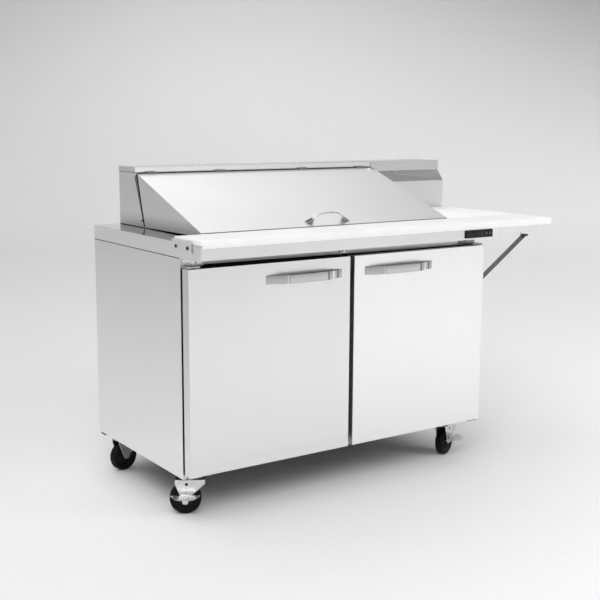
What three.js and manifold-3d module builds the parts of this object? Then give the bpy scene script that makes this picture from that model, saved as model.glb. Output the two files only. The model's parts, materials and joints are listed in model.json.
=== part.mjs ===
// Two-door refrigerated sandwich prep table on casters, with a side shelf.
// Millimetres, +Z up. The front faces -Y and the side shelf is at +X.
import * as THREE from "three";
import { mergeVertices } from "three/addons/utils/BufferGeometryUtils.js";
import Module from "manifold-3d";

const wasm = await Module();
wasm.setup();

// ---- Driving dimensions -------------------------------------------------------------------
// While building, X = 0 is the cabinet's left side, Y = 0 the doors' front and Z = 0 the floor.
const CAB_W = 1220; // cabinet width
const CAB_FRONT = 52; // plane of the cabinet's front frame
const CAB_BACK = 691; // outer face of the back panel
const CAB_BOTTOM = 127; // underside of the cabinet base
const BASE_T = 4; // thickness of the base
const CAB_TOP = 830; // top edge of the side panels
const WORKTOP_TOP = 879; // steel worktop surface
const FRONT_EDGE = -77; // front of the worktop and of the cutting board
const SHEET = 2; // sheet metal gauge of the modelled panels
const GAP = 0.3; // air between two pieces that touch
const ON_BASE = CAB_BOTTOM + BASE_T + GAP; // foot of the pieces that stand on the base

const DOOR_BOTTOM = 146;
const DOOR_TOP = 801;
const DOOR_SPLIT = [609.4, 627.5]; // inner edges of the left and the right door
const MULLION_X = (DOOR_SPLIT[0] + DOOR_SPLIT[1]) / 2;
const DOOR_T = 46; // door without its gasket
const GASKET_T = 5.4;
const HANDLE_Z = 747.5; // centre height of the door handles
const HANDLE_H = 28;
const HANDLE_X = { left: [277, 573.5], right: [671, 967.5] };
const HANDLE_RISE = 28; // how far a handle's middle stands off its door

const BOARD_T = 19; // cutting boards
const BOARD_BACK = 90; // rear edge of the front board
const BOARD_RIGHT = 1486; // right end of the boards and the shelf
const SHELF_APRON = 29; // height of the side shelf's apron
const SHELF_INSET = 32; // apron set back from the shelf's free end

const HOOD_LEFT = 100;
const HOOD_RIGHT = 1478;
const HOOD_TOP = 1083;
const HOOD_LIP_Y = 560; // front of the hood's cap
const HOOD_LIP_Z = 1065; // lower edge of the cap's front lip
const LID_RIGHT = 1125;
const LID_FRONT = [100, 885]; // Y, Z of the lid's front lower edge
const LID_REAR = [545, 1061]; // Y, Z of the lid's top rear edge
const LID_HEEL = [492, 881]; // Y, Z of the lid side plate's rear foot
const LID_PIN = [551, 1062]; // Y, Z of the lid's hinge line
const LID_PIN_R = 3;

const WALL = 40; // insulated wall of the cabinet
const CAVITY_FLOOR = 171;
const CAVITY_BACK = 500;
const BAY_FRONT = 538; // front of the machine bay behind the insulation
const FRAME_DEPTH = 28; // depth of the front frame
const MULLION_W = 90;

const PAN_L = 324; // food pan, along X
const PAN_D = 175; // food pan, along Y
const PAN_DEPTH = 150;
const PAN_COLUMNS = 3;
const PAN_OPENING_X = [122, 1104];
const PAN_OPENING_Y = [116, 480];

const WHEEL_R = 51;
const WHEEL_W = 32;
const TRAIL = 35; // swivel axis to wheel axle
const AXLE_R = 5;
const FORK_TOP = 115.4;
const FORK_GAUGE = 2.5;
const FORK_HALF = 18.5; // inside of a fork leg, from the wheel's middle plane
const PEDAL_AXIS = [-24, 66]; // Y, Z of a brake pedal's pivot, in its caster's frame

// Swivel axis (X, Y) and heading in degrees of each caster as it stands.
const CASTERS = [
  { name: "front_left", x: 61, y: 77, heading: -30, brake: true },
  { name: "front_right", x: 1170, y: 111, heading: 24, brake: true },
  { name: "rear_left", x: 82, y: 606, heading: 13, brake: false },
  { name: "rear_right", x: 1138, y: 606, heading: -13, brake: false },
];

// ---- Materials ----------------------------------------------------------------------------
const finish = (color, roughness, metalness) =>
  new THREE.MeshStandardMaterial({ color, roughness, metalness });
const steel = () => finish(0xc9cbcc, 0.32, 1);
const dullSteel = () => finish(0xa9abad, 0.45, 1);
const zinc = () => finish(0xd0d2d4, 0.22, 1);
const galvanised = () => finish(0xb2b5b8, 0.5, 1);
const aluminium = () => finish(0xbfc1c2, 0.4, 1);
const poly = () => finish(0xf4f4f2, 0.45, 0);
const whitePlastic = () => finish(0xe6e6e4, 0.5, 0);
const blackPlastic = () => finish(0x151617, 0.35, 0);
const rubber = () => finish(0x1b1b1c, 0.8, 0);
const darkPaint = () => finish(0x4c4e50, 0.5, 0.6);
const foam = () => finish(0xd8c98f, 0.9, 0);
const copper = () => finish(0xb8775a, 0.35, 1);
const buttonFace = () => finish(0x9a9c9e, 0.5, 0);

// ---- Shape helpers ------------------------------------------------------------------------
// A closed solid from a three.js geometry, turned to face outwards.
function solid(geometry) {
  const bare = geometry.clone();
  bare.deleteAttribute("normal");
  bare.deleteAttribute("uv");
  const merged = mergeVertices(bare, 1e-4);
  const vertProperties = Float32Array.from(merged.attributes.position.array);
  const triVerts = Uint32Array.from(merged.index.array);
  const made = new wasm.Manifold(new wasm.Mesh({ numProp: 3, vertProperties, triVerts }));
  if (made.volume() > 0) return made;
  for (let i = 0; i < triVerts.length; i += 3) {
    [triVerts[i + 1], triVerts[i + 2]] = [triVerts[i + 2], triVerts[i + 1]];
  }
  return new wasm.Manifold(new wasm.Mesh({ numProp: 3, vertProperties, triVerts }));
}

function geometryOf(made) {
  const mesh = made.getMesh();
  const geometry = new THREE.BufferGeometry();
  geometry.setAttribute("position", new THREE.BufferAttribute(mesh.vertProperties, 3));
  geometry.setIndex(new THREE.BufferAttribute(mesh.triVerts, 1));
  const flat = geometry.toNonIndexed();
  flat.computeVertexNormals();
  return flat;
}

const fuse = (...pieces) =>
  geometryOf(pieces.map(solid).reduce((whole, piece) => whole.add(piece)));

const cut = (piece, ...tools) =>
  geometryOf(tools.map(solid).reduce((rest, tool) => rest.subtract(tool), solid(piece)));

function box([x0, x1], [y0, y1], [z0, z1]) {
  const geometry = new THREE.BoxGeometry(x1 - x0, y1 - y0, z1 - z0);
  return geometry.translate((x0 + x1) / 2, (y0 + y1) / 2, (z0 + z1) / 2);
}

function extrude(outline, depth) {
  const shape = outline instanceof THREE.Shape ? outline : shapeOf(outline);
  return new THREE.ExtrudeGeometry(shape, { depth, bevelEnabled: false, curveSegments: 12 });
}

const shapeOf = (points) => new THREE.Shape(points.map(([u, v]) => new THREE.Vector2(u, v)));

// Prisms of an outline in the plane across X, Y or Z.
const ACROSS_X = new THREE.Matrix4().set(0, 0, 1, 0, 1, 0, 0, 0, 0, 1, 0, 0, 0, 0, 0, 1);
const prismX = (outlineYZ, [x0, x1]) =>
  extrude(outlineYZ, x1 - x0).applyMatrix4(ACROSS_X).translate(x0, 0, 0);
const prismY = (outlineXZ, [y0, y1]) =>
  extrude(outlineXZ, y1 - y0).rotateX(Math.PI / 2).translate(0, y1, 0);
const prismZ = (outlineXY, [z0, z1]) => extrude(outlineXY, z1 - z0).translate(0, 0, z0);

// The same span made a little longer at both ends, for a clean cut through.
const through = ([low, high]) => [low - 1, high + 1];

const rectangle = ([u0, u1], [v0, v1]) => [[u0, v0], [u1, v0], [u1, v1], [u0, v1]];

const rodX = (radius, [x0, x1], y, z, sides = 20) =>
  new THREE.CylinderGeometry(radius, radius, x1 - x0, sides)
    .rotateZ(Math.PI / 2)
    .translate((x0 + x1) / 2, y, z);
const rodY = (radius, x, [y0, y1], z, sides = 20) =>
  new THREE.CylinderGeometry(radius, radius, y1 - y0, sides).translate(x, (y0 + y1) / 2, z);
const rodZ = (radius, x, y, [z0, z1], sides = 20) =>
  new THREE.CylinderGeometry(radius, radius, z1 - z0, sides)
    .rotateX(Math.PI / 2)
    .translate(x, y, (z0 + z1) / 2);

const table = new THREE.Group();

function add(name, geometry, material, parent = table) {
  const mesh = new THREE.Mesh(geometry, material);
  mesh.name = name;
  parent.add(mesh);
  return mesh;
}

// The same span seen in a mirror that swaps the cabinet's left and right sides.
const mirror = ([x0, x1]) => [CAB_W - x1, CAB_W - x0];

// ---- Cabinet ------------------------------------------------------------------------------
const PANEL_FLANGE = 14;
const inside = [SHEET + GAP, CAB_W - SHEET - GAP]; // between the two side panels
const bodyZ = [ON_BASE, WORKTOP_TOP - SHEET - GAP];

// A side panel is one sheet with a return flange at the front and at the back.
function sidePanel(toWorldX) {
  const outline = [
    [0, CAB_FRONT],
    [PANEL_FLANGE, CAB_FRONT],
    [PANEL_FLANGE, CAB_FRONT + SHEET],
    [SHEET, CAB_FRONT + SHEET],
    [SHEET, CAB_BACK - SHEET],
    [PANEL_FLANGE, CAB_BACK - SHEET],
    [PANEL_FLANGE, CAB_BACK],
    [0, CAB_BACK],
  ];
  return prismZ(outline.map(([x, y]) => [toWorldX(x), y]), [CAB_BOTTOM, CAB_TOP]);
}

add("left_side_panel", sidePanel((x) => x), steel());

// The right panel carries the two lugs that the shelf braces are bolted to.
const BRACE_LOW_Z = 637;
const BRACES = [
  { name: "front_brace", low: [1232, 68, BRACE_LOW_Z], high: [1439, 22, 819] },
  { name: "rear_brace", low: [1232, 610, BRACE_LOW_Z], high: [1439, 610, 819] },
];
const BRACE_T = 4;
const lugs = BRACES.map(({ low: [, y, z] }) =>
  box([CAB_W - SHEET, CAB_W + 22], [y + 5, y + 8], [z - 16, z + 16]));
add("right_side_panel", fuse(sidePanel((x) => CAB_W - x), ...lugs), steel());

// Back panel with the machine bay's opening and the inlet's hole.
const GRILLE_X = [330, 890];
const GRILLE_Z = [170, 560];
const INLET = [1010, 230];
const backX = [PANEL_FLANGE + GAP, CAB_W - PANEL_FLANGE - GAP];
add(
  "back_panel",
  cut(
    box(backX, [CAB_BACK - SHEET, CAB_BACK], [ON_BASE, CAB_TOP - GAP]),
    box(GRILLE_X, [CAB_BACK - 10, CAB_BACK + 10], GRILLE_Z),
    rodY(13, INLET[0], [CAB_BACK - 10, CAB_BACK + 10], INLET[1]),
  ),
  galvanised(),
);

// Louvred cover screwed over the opening.
function grille() {
  const rim = 22;
  const columns = 2;
  const rows = 12;
  const web = 14; // metal left beside a slot
  const bridge = 10; // metal left above and below a slot
  const thickness = [CAB_BACK + GAP, CAB_BACK + GAP + SHEET];
  const pitchX = (GRILLE_X[1] - GRILLE_X[0]) / columns;
  const pitchZ = (GRILLE_Z[1] - GRILLE_Z[0]) / rows;
  const slots = [];
  for (let column = 0; column < columns; column += 1) {
    for (let row = 0; row < rows; row += 1) {
      const x = GRILLE_X[0] + pitchX * column;
      const z = GRILLE_Z[0] + pitchZ * row;
      slots.push(
        box([x + web, x + pitchX - web], through(thickness), [z + bridge, z + pitchZ - bridge]),
      );
    }
  }
  const plate = box(
    [GRILLE_X[0] - rim, GRILLE_X[1] + rim],
    thickness,
    [GRILLE_Z[0] - rim, GRILLE_Z[1] + rim],
  );
  return cut(plate, ...slots);
}
add("rear_grille", grille(), galvanised());

// Base with a mounting pad and a ball race over each caster.
const PAD_HALF = [46, 34];
const PAD_T = 3;
const RACE_R = 20;
const seatFront = CAB_FRONT + SHEET + GAP;
const casterSeats = CASTERS.flatMap(({ x, y }) => [
  box(
    [x - PAD_HALF[0], x + PAD_HALF[0]],
    [Math.max(y - PAD_HALF[1], seatFront), y + PAD_HALF[1]],
    [CAB_BOTTOM - PAD_T, CAB_BOTTOM + 1],
  ),
  rodZ(RACE_R, x, y, [FORK_TOP + GAP, CAB_BOTTOM + 1], 24),
]);
add(
  "base_pan",
  fuse(
    box(inside, [seatFront, CAB_BACK - SHEET - GAP], [CAB_BOTTOM, CAB_BOTTOM + BASE_T]),
    ...casterSeats,
  ),
  galvanised(),
);

// Foam walls round the cavity: floor, two sides and the back.
const foamX = inside;
const foamY = [CAB_FRONT + FRAME_DEPTH + GAP, BAY_FRONT];
add(
  "insulation",
  cut(
    box(foamX, foamY, bodyZ),
    box(
      [WALL - GAP, CAB_W - WALL + GAP],
      [CAB_FRONT, CAVITY_BACK + SHEET + GAP],
      [CAVITY_FLOOR - SHEET - GAP, WORKTOP_TOP],
    ),
  ),
  foam(),
);

// Liner tub, open at the front and the top.
add(
  "inner_liner",
  cut(
    box(
      [WALL, CAB_W - WALL],
      [CAB_FRONT + FRAME_DEPTH + GAP, CAVITY_BACK + SHEET],
      [CAVITY_FLOOR - SHEET, WORKTOP_TOP - SHEET - GAP],
    ),
    box(
      [WALL + SHEET, CAB_W - WALL - SHEET],
      [CAB_FRONT, CAVITY_BACK],
      [CAVITY_FLOOR, WORKTOP_TOP],
    ),
  ),
  aluminium(),
);

// Front frame with one opening per door and a post between them.
const FRAME_SIDE = 44;
const FRAME_SILL = 186;
const FRAME_HEAD = 775;
const openings = [
  [[FRAME_SIDE, MULLION_X - MULLION_W / 2], [FRAME_SILL, FRAME_HEAD]],
  [[MULLION_X + MULLION_W / 2, CAB_W - FRAME_SIDE], [FRAME_SILL, FRAME_HEAD]],
];
const frameY = [CAB_FRONT, CAB_FRONT + FRAME_DEPTH];
add(
  "front_frame",
  cut(
    box(backX, frameY, bodyZ),
    ...openings.map(([x, z]) => box(x, through(frameY), z)),
  ),
  steel(),
);

// ---- Worktop, fascia and boards -------------------------------------------------------------
const topZ = [WORKTOP_TOP - SHEET, WORKTOP_TOP];
const skirtY = [FRONT_EDGE, CAB_BACK];
const BAR_MIDDLE = (PAN_OPENING_Y[0] + PAN_OPENING_Y[1]) / 2;
const BAR_Y = [BAR_MIDDLE - 4, BAR_MIDDLE + 4]; // bar between the two rows of pans
const BAR_OVERLAP = 6;
const FASCIA_STEP_X = 1187; // right of this the front hangs down no further than the shelf's apron
const STEP_Z = WORKTOP_TOP - SHEET - SHELF_APRON;
add(
  "worktop",
  fuse(
    cut(
      box([0, CAB_W], skirtY, [CAB_TOP + GAP, WORKTOP_TOP]),
      box([SHEET, CAB_W - SHEET], [FRONT_EDGE - 1, CAB_BACK - SHEET], [CAB_TOP, topZ[0]]),
      box(PAN_OPENING_X, PAN_OPENING_Y, through(topZ)),
      box([CAB_W - 10, CAB_W + 1], [FRONT_EDGE - 1, CAB_FRONT], [CAB_TOP, STEP_Z]),
    ),
    box(
      [PAN_OPENING_X[0] - BAR_OVERLAP, PAN_OPENING_X[1] + BAR_OVERLAP],
      BAR_Y,
      [WORKTOP_TOP - 22, WORKTOP_TOP - SHEET / 2],
    ),
  ),
  steel(),
);

// Fascia: a channel with a narrow return along its lower edge, shallower at its right end.
const FASCIA_BOTTOM = 835;
const fasciaSection = (bottom) => [
  [FRONT_EDGE, bottom],
  [FRONT_EDGE + 26, bottom],
  [FRONT_EDGE + 26, bottom + SHEET],
  [FRONT_EDGE + SHEET, bottom + SHEET],
  [FRONT_EDGE + SHEET, WORKTOP_TOP - SHEET - GAP],
  [FRONT_EDGE, WORKTOP_TOP - SHEET - GAP],
];
add(
  "front_fascia",
  fuse(
    prismX(fasciaSection(FASCIA_BOTTOM), [SHEET + GAP, FASCIA_STEP_X]),
    prismX(fasciaSection(STEP_Z), [FASCIA_STEP_X - 1, CAB_W - SHEET - GAP]),
  ),
  steel(),
);

// Thermostat on the fascia, with two sprung keys in their own pockets.
const PANEL_X = [1050, 1181];
const PANEL_Z = [841, 869];
const PANEL_Y = [FRONT_EDGE - 3.3, FRONT_EDGE - GAP];
const KEY_X = [1149, 1166];
const KEY_Z = [849, 861];
const KEY_W = 11;
const keyPocket = (x) =>
  box([x - KEY_W / 2 - 0.4, x + KEY_W / 2 + 0.4], [PANEL_Y[0] - 1, PANEL_Y[1] - 0.6],
    [KEY_Z[0] - 0.4, KEY_Z[1] + 0.4]);
add(
  "control_panel",
  cut(box(PANEL_X, PANEL_Y, PANEL_Z), ...KEY_X.map(keyPocket)),
  blackPlastic(),
);
KEY_X.forEach((x, i) => {
  const keyY = [PANEL_Y[0] - 0.7, PANEL_Y[1] - 2.1];
  add(`control_key_${i + 1}`, box([x - KEY_W / 2, x + KEY_W / 2], keyY, KEY_Z), buttonFace());
});

// Boards rest on the steel top: one along the front, one on the shelf beside the hood.
const boardZ = [WORKTOP_TOP + GAP, WORKTOP_TOP + BOARD_T];
const BOARD_CORNER = 10;
function roundedPlan([x0, x1], [y0, y1], radius) {
  const shape = new THREE.Shape();
  shape.moveTo(x0, y0);
  shape.lineTo(x1 - radius, y0);
  shape.absarc(x1 - radius, y0 + radius, radius, -Math.PI / 2, 0, false);
  shape.lineTo(x1, y1);
  shape.lineTo(x0, y1);
  return shape;
}
add(
  "front_cutting_board",
  prismZ(roundedPlan([2, BOARD_RIGHT], [FRONT_EDGE, BOARD_BACK], BOARD_CORNER), boardZ),
  poly(),
);
const HOOD_WING_Y = 521; // front face of the hood beside the lid
const SIDE_BOARD_LEFT = LID_RIGHT + 6;
add(
  "side_cutting_board",
  prismZ(
    rectangle([SIDE_BOARD_LEFT, BOARD_RIGHT], [BOARD_BACK + 0.5, HOOD_WING_Y - 1]),
    boardZ,
  ),
  poly(),
);

// Side shelf: a flat top on an apron, with a lug over each brace.
const shelfX = [CAB_W + GAP, BOARD_RIGHT];
const apronZ = [WORKTOP_TOP - SHEET - SHELF_APRON, WORKTOP_TOP - SHEET / 2];
const apronRight = BOARD_RIGHT - SHELF_INSET;
const APRON_FRONT = FRONT_EDGE + 10;
const shelfLugs = BRACES.map(({ high: [x, y, z] }) =>
  box([x - 6, x + 30], [y + 5, y + 8], [z - 8, WORKTOP_TOP - 1]));
add(
  "side_shelf",
  fuse(
    box(shelfX, skirtY, topZ),
    cut(
      box([shelfX[0] + 1, apronRight], [APRON_FRONT, CAB_BACK - 1], apronZ),
      box(
        [shelfX[0], apronRight - SHEET],
        [APRON_FRONT + SHEET, CAB_BACK - 1 - SHEET],
        through(apronZ),
      ),
    ),
    ...shelfLugs,
  ),
  steel(),
);

// A brace is a flat bar with round ends between two lugs.
const BRACE_W = 17;
for (const { name, low, high } of BRACES) {
  const from = new THREE.Vector3(...low);
  const to = new THREE.Vector3(...high);
  const length = from.distanceTo(to);
  const r = BRACE_W / 2;
  const bar = new THREE.Shape();
  bar.moveTo(0, -r);
  bar.lineTo(length, -r);
  bar.absarc(length, 0, r, -Math.PI / 2, Math.PI / 2, false);
  bar.lineTo(0, r);
  bar.absarc(0, 0, r, Math.PI / 2, (3 * Math.PI) / 2, false);
  const geometry = extrude(bar, BRACE_T).rotateX(Math.PI / 2);
  const mesh = add(name, geometry, darkPaint());
  const along = to.clone().sub(from).normalize();
  const thickness = new THREE.Vector3(0, 0, 1).cross(along).normalize();
  const width = along.clone().cross(thickness);
  mesh.quaternion.setFromRotationMatrix(new THREE.Matrix4().makeBasis(along, thickness, width));
  mesh.position.copy(from);
}

// Clip plate that holds the front board's left end.
add("board_clip", box([-2.5 - GAP, -GAP], [-28, 99], [847, 889]), steel());

// ---- Hood ---------------------------------------------------------------------------------
// Sheet shell, open underneath: a main length behind the lid and a shallower wing beside it.
const hoodFoot = WORKTOP_TOP + GAP;
const bulkheadTop = [HOOD_LIP_Y, HOOD_LIP_Z];
const mainOutline = [
  [CAB_BACK, hoodFoot],
  [CAB_BACK, HOOD_TOP],
  [HOOD_LIP_Y, HOOD_TOP],
  bulkheadTop,
  [LID_HEEL[0] + 6, hoodFoot],
];
const mainInside = [
  [CAB_BACK - SHEET, hoodFoot - 5],
  [CAB_BACK - SHEET, HOOD_TOP - SHEET],
  [HOOD_LIP_Y + SHEET, HOOD_TOP - SHEET],
  [HOOD_LIP_Y + SHEET, HOOD_LIP_Z],
  [LID_HEEL[0] + 8, hoodFoot - 5],
];
const WING_LIP = [555, 1046]; // Y, Z under the wing's front band
const WING_KNEE_Z = 1004; // top of the wing's upright face
const wingOutline = [
  [CAB_BACK, hoodFoot],
  [CAB_BACK, HOOD_TOP],
  [WING_LIP[0], HOOD_TOP],
  WING_LIP,
  [HOOD_WING_Y, WING_KNEE_Z],
  [HOOD_WING_Y, hoodFoot],
];
const wingInside = [
  [CAB_BACK - SHEET, hoodFoot - 5],
  [CAB_BACK - SHEET, HOOD_TOP - SHEET],
  [WING_LIP[0] + SHEET, HOOD_TOP - SHEET],
  [WING_LIP[0] + SHEET, WING_LIP[1] - 0.5],
  [HOOD_WING_Y + SHEET, WING_KNEE_Z - 0.5],
  [HOOD_WING_Y + SHEET, hoodFoot - 5],
];
const WING_LEFT = LID_RIGHT + 1;
add(
  "hood_shell",
  cut(
    fuse(
      prismX(mainOutline, [HOOD_LEFT, WING_LEFT + 1]),
      prismX(wingOutline, [WING_LEFT, HOOD_RIGHT]),
    ),
    prismX(mainInside, [HOOD_LEFT + SHEET, WING_LEFT]),
    prismX(wingInside, [WING_LEFT + SHEET, HOOD_RIGHT - SHEET]),
  ),
  steel(),
);

// Hinge rod of the lid, carried on three tabs in front of the hood.
const LID_SPAN = [HOOD_LEFT + 0.5, LID_RIGHT - 0.5];
const ROD_TABS = [240, 600, 960];
const bulkheadY = (z) =>
  LID_HEEL[0] + 6 + ((z - hoodFoot) / (HOOD_LIP_Z - hoodFoot)) * (HOOD_LIP_Y - LID_HEEL[0] - 6);
add(
  "lid_hinge_rod",
  fuse(
    rodX(LID_PIN_R, [HOOD_LEFT + 4, LID_RIGHT - 4], ...LID_PIN, 16),
    ...ROD_TABS.map((x) =>
      box([x, x + 30], [LID_PIN[0], bulkheadY(1058) - 0.6], [LID_PIN[1] - 4, LID_PIN[1] - 1.5])),
  ),
  zinc(),
);

// ---- Lid ----------------------------------------------------------------------------------
const lidSlope = Math.atan2(LID_REAR[1] - LID_FRONT[1] - 12, LID_REAR[0] - LID_FRONT[0]);
const underY = SHEET * Math.sin(lidSlope);
const underZ = SHEET * Math.cos(lidSlope);
const LID_LIP = 12; // height of the lid's front lip
const lidNose = [LID_FRONT[0], LID_FRONT[1] + LID_LIP];
// Y, Z of a point under the sloping sheet's outer face.
const onLid = (y, below) => [
  y + below * Math.sin(lidSlope),
  lidNose[1] + (y - lidNose[0]) * Math.tan(lidSlope) - below * Math.cos(lidSlope),
];
const lidTopSheet = [
  LID_FRONT,
  [LID_FRONT[0] + SHEET, LID_FRONT[1]],
  [LID_FRONT[0] + SHEET, lidNose[1] - underZ + SHEET * Math.tan(lidSlope)],
  [LID_REAR[0] + underY, LID_REAR[1] - underZ],
  LID_REAR,
  lidNose,
];
const lidSide = [
  [LID_FRONT[0] + 1, LID_FRONT[1]],
  LID_HEEL,
  onLid(LID_REAR[0] - 1, 1),
  onLid(LID_FRONT[0] + 1, 1),
];
const KNUCKLES = [140, 420, 780, 1050];
const KNUCKLE_W = 34;
const KNUCKLE_R = 6.5;
const knuckleStrip = [
  onLid(LID_REAR[0] - 7, 0.5),
  onLid(LID_REAR[0] - 7, 1.5),
  [LID_PIN[0] - 3, LID_PIN[1] - 3],
  [LID_PIN[0] - 3, LID_PIN[1] + 1],
];
const knuckle = (x) =>
  cut(
    fuse(
      rodX(KNUCKLE_R, [x, x + KNUCKLE_W], ...LID_PIN, 20),
      prismX(knuckleStrip, [x, x + KNUCKLE_W]),
    ),
    rodX(LID_PIN_R + 0.5, through([x, x + KNUCKLE_W]), ...LID_PIN, 16),
  );
add(
  "lid_shell",
  fuse(
    prismX(lidTopSheet, LID_SPAN),
    prismX(lidSide, [LID_SPAN[0], LID_SPAN[0] + SHEET]),
    prismX(lidSide, [LID_SPAN[1] - SHEET, LID_SPAN[1]]),
    ...KNUCKLES.map(knuckle),
  ),
  steel(),
);

// Insulated inner panel under the sloping sheet.
const LINER_T = 16;
add(
  "lid_liner",
  prismX(
    [
      onLid(LID_FRONT[0] + 34, SHEET + GAP),
      onLid(LID_FRONT[0] + 34, SHEET + LINER_T),
      onLid(LID_REAR[0] - 46, SHEET + LINER_T),
      onLid(LID_REAR[0] - 30, SHEET + GAP),
    ],
    [LID_SPAN[0] + SHEET + 8, LID_SPAN[1] - SHEET - 8],
  ),
  whitePlastic(),
);

// Arched pull near the lid's front edge: a bow on two gusset feet.
const LID_PULL_X = [519, 692];
const LID_PULL_Y = 128;
function lidPull() {
  const middle = (LID_PULL_X[0] + LID_PULL_X[1]) / 2;
  const half = (LID_PULL_X[1] - LID_PULL_X[0]) / 2;
  const rise = 34;
  const strap = 6;
  const outer = new THREE.Shape();
  const steps = 14;
  const bow = (reach, height) =>
    Array.from({ length: steps + 1 }, (_, i) => {
      const angle = Math.PI * (1 - i / steps);
      return [middle + reach * Math.cos(angle), height * Math.sin(angle) ** 0.8];
    });
  outer.setFromPoints(
    [...bow(half, rise), ...bow(half - strap * 2, rise - strap).reverse()].map(
      ([u, v]) => new THREE.Vector2(u, v),
    ),
  );
  const foot = (x0, x1) => box([x0, x1], [-11, 11], [0, 6]);
  const pull = fuse(
    prismY(outer, [-8, 8]),
    foot(LID_PULL_X[0] - 2, LID_PULL_X[0] + 24),
    foot(LID_PULL_X[1] - 24, LID_PULL_X[1] + 2),
  );
  return pull.rotateX(lidSlope).translate(0, ...onLid(LID_PULL_Y, -GAP));
}
add("lid_handle", lidPull(), zinc());

// ---- Food pans ----------------------------------------------------------------------------
// A pan is a tapered tub with a flat rim that rests on the opening's edge.
function pan() {
  const wall = 1.5;
  const rim = 7;
  const taper = 12;
  const tub = (inset, depth, above) => {
    const top = [PAN_L / 2 - rim - inset, PAN_D / 2 - rim - inset];
    const floor = [top[0] - taper, top[1] - taper];
    const geometry = new THREE.BoxGeometry(2, 2, depth + above).translate(0, 0, (above - depth) / 2);
    const at = geometry.attributes.position;
    for (let i = 0; i < at.count; i += 1) {
      const [halfX, halfY] = at.getZ(i) > -depth / 2 ? top : floor;
      at.setX(i, at.getX(i) * halfX);
      at.setY(i, at.getY(i) * halfY);
    }
    return geometry;
  };
  const rimPlate = box([-PAN_L / 2, PAN_L / 2], [-PAN_D / 2, PAN_D / 2], [-wall, 0]);
  return cut(fuse(tub(0, PAN_DEPTH, -wall / 2), rimPlate), tub(wall, PAN_DEPTH - wall, 1));
}
const panRowY = [PAN_OPENING_Y[0] + PAN_D / 2 + 2, PAN_OPENING_Y[1] - PAN_D / 2 - 2];
const panPitch = (PAN_OPENING_X[1] - PAN_OPENING_X[0]) / PAN_COLUMNS;
const PAN_RIM_Z = WORKTOP_TOP + 1.8;
let panNumber = 1;
for (const y of panRowY) {
  for (let column = 0; column < PAN_COLUMNS; column += 1) {
    const mesh = add(`food_pan_${panNumber}`, pan(), dullSteel());
    mesh.position.set(PAN_OPENING_X[0] + panPitch * (column + 0.5), y, PAN_RIM_Z);
    panNumber += 1;
  }
}

// ---- Inside the cabinet -------------------------------------------------------------------
const SHELF_Z = 430;
const shelfY = [CAB_FRONT + FRAME_DEPTH + 12, 380];
function wireShelf([x0, x1]) {
  const rod = 5;
  const cross = [];
  const slats = 14;
  for (let i = 0; i < slats; i += 1) {
    const x = x0 + ((x1 - x0 - rod) * i) / (slats - 1);
    cross.push(box([x, x + rod], shelfY, [SHELF_Z, SHELF_Z + rod]));
  }
  const runners = [shelfY[0] + 10, (shelfY[0] + shelfY[1]) / 2, shelfY[1] - 18].map((y) =>
    box([x0, x1], [y, y + rod + 2], [SHELF_Z - 4, SHELF_Z + 2]));
  return fuse(...runners, ...cross);
}
const shelfSpans = [
  [WALL + SHEET + 6, MULLION_X - 6],
  [MULLION_X + 6, CAB_W - WALL - SHEET - 6],
];
add("left_wire_shelf", wireShelf(shelfSpans[0]), whitePlastic());
add("right_wire_shelf", wireShelf(shelfSpans[1]), whitePlastic());

// Evaporator on the back wall: a housing with a fan opening.
const EVAP_X = [410, 810];
const EVAP_Z = [500, 690];
const EVAP_Y = [400, CAVITY_BACK - GAP];
const FAN_AT = [(EVAP_X[0] + EVAP_X[1]) / 2, (EVAP_Z[0] + EVAP_Z[1]) / 2];
const EVAP_FAN_R = 66;
add(
  "evaporator_housing",
  cut(
    box(EVAP_X, EVAP_Y, EVAP_Z),
    box(
      [EVAP_X[0] + SHEET, EVAP_X[1] - SHEET],
      [EVAP_Y[0] + SHEET, EVAP_Y[1] + 1],
      [EVAP_Z[0] + SHEET, EVAP_Z[1] - SHEET],
    ),
    rodY(EVAP_FAN_R + 4, FAN_AT[0], [EVAP_Y[0] - 5, EVAP_Y[0] + 10], FAN_AT[1], 28),
  ),
  aluminium(),
);

// Axial fan: hub and flat blades pitched about their roots.
function fan(tip, hub, depth) {
  const blades = 4;
  const parts = [new THREE.CylinderGeometry(hub, hub, depth, 16)];
  for (let i = 0; i < blades; i += 1) {
    const blade = new THREE.BoxGeometry(tip - hub + 6, 1.6, tip * 0.55);
    blade.rotateX(0.5).translate(hub - 4 + (tip - hub + 6) / 2, 0, 0);
    parts.push(blade.rotateY((i * 2 * Math.PI) / blades));
  }
  return fuse(...parts);
}
const evapFan = add("evaporator_fan", fan(EVAP_FAN_R - 4, 18, 22), blackPlastic());
evapFan.position.set(FAN_AT[0], EVAP_Y[0] + 17, FAN_AT[1]);

// Finned block: plates along the air path on a solid core.
function finnedCoil([x0, x1], [y0, y1], [z0, z1], fins) {
  const core = box([x0, x1], [y0 + 8, y1 - 8], [z0, z1]);
  const plates = [];
  for (let i = 0; i < fins; i += 1) {
    const x = x0 + ((x1 - x0 - 2) * i) / (fins - 1);
    plates.push(box([x, x + 2], [y0, y1], [z0 + 1, z1 - 1]));
  }
  return fuse(core, ...plates);
}

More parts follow.
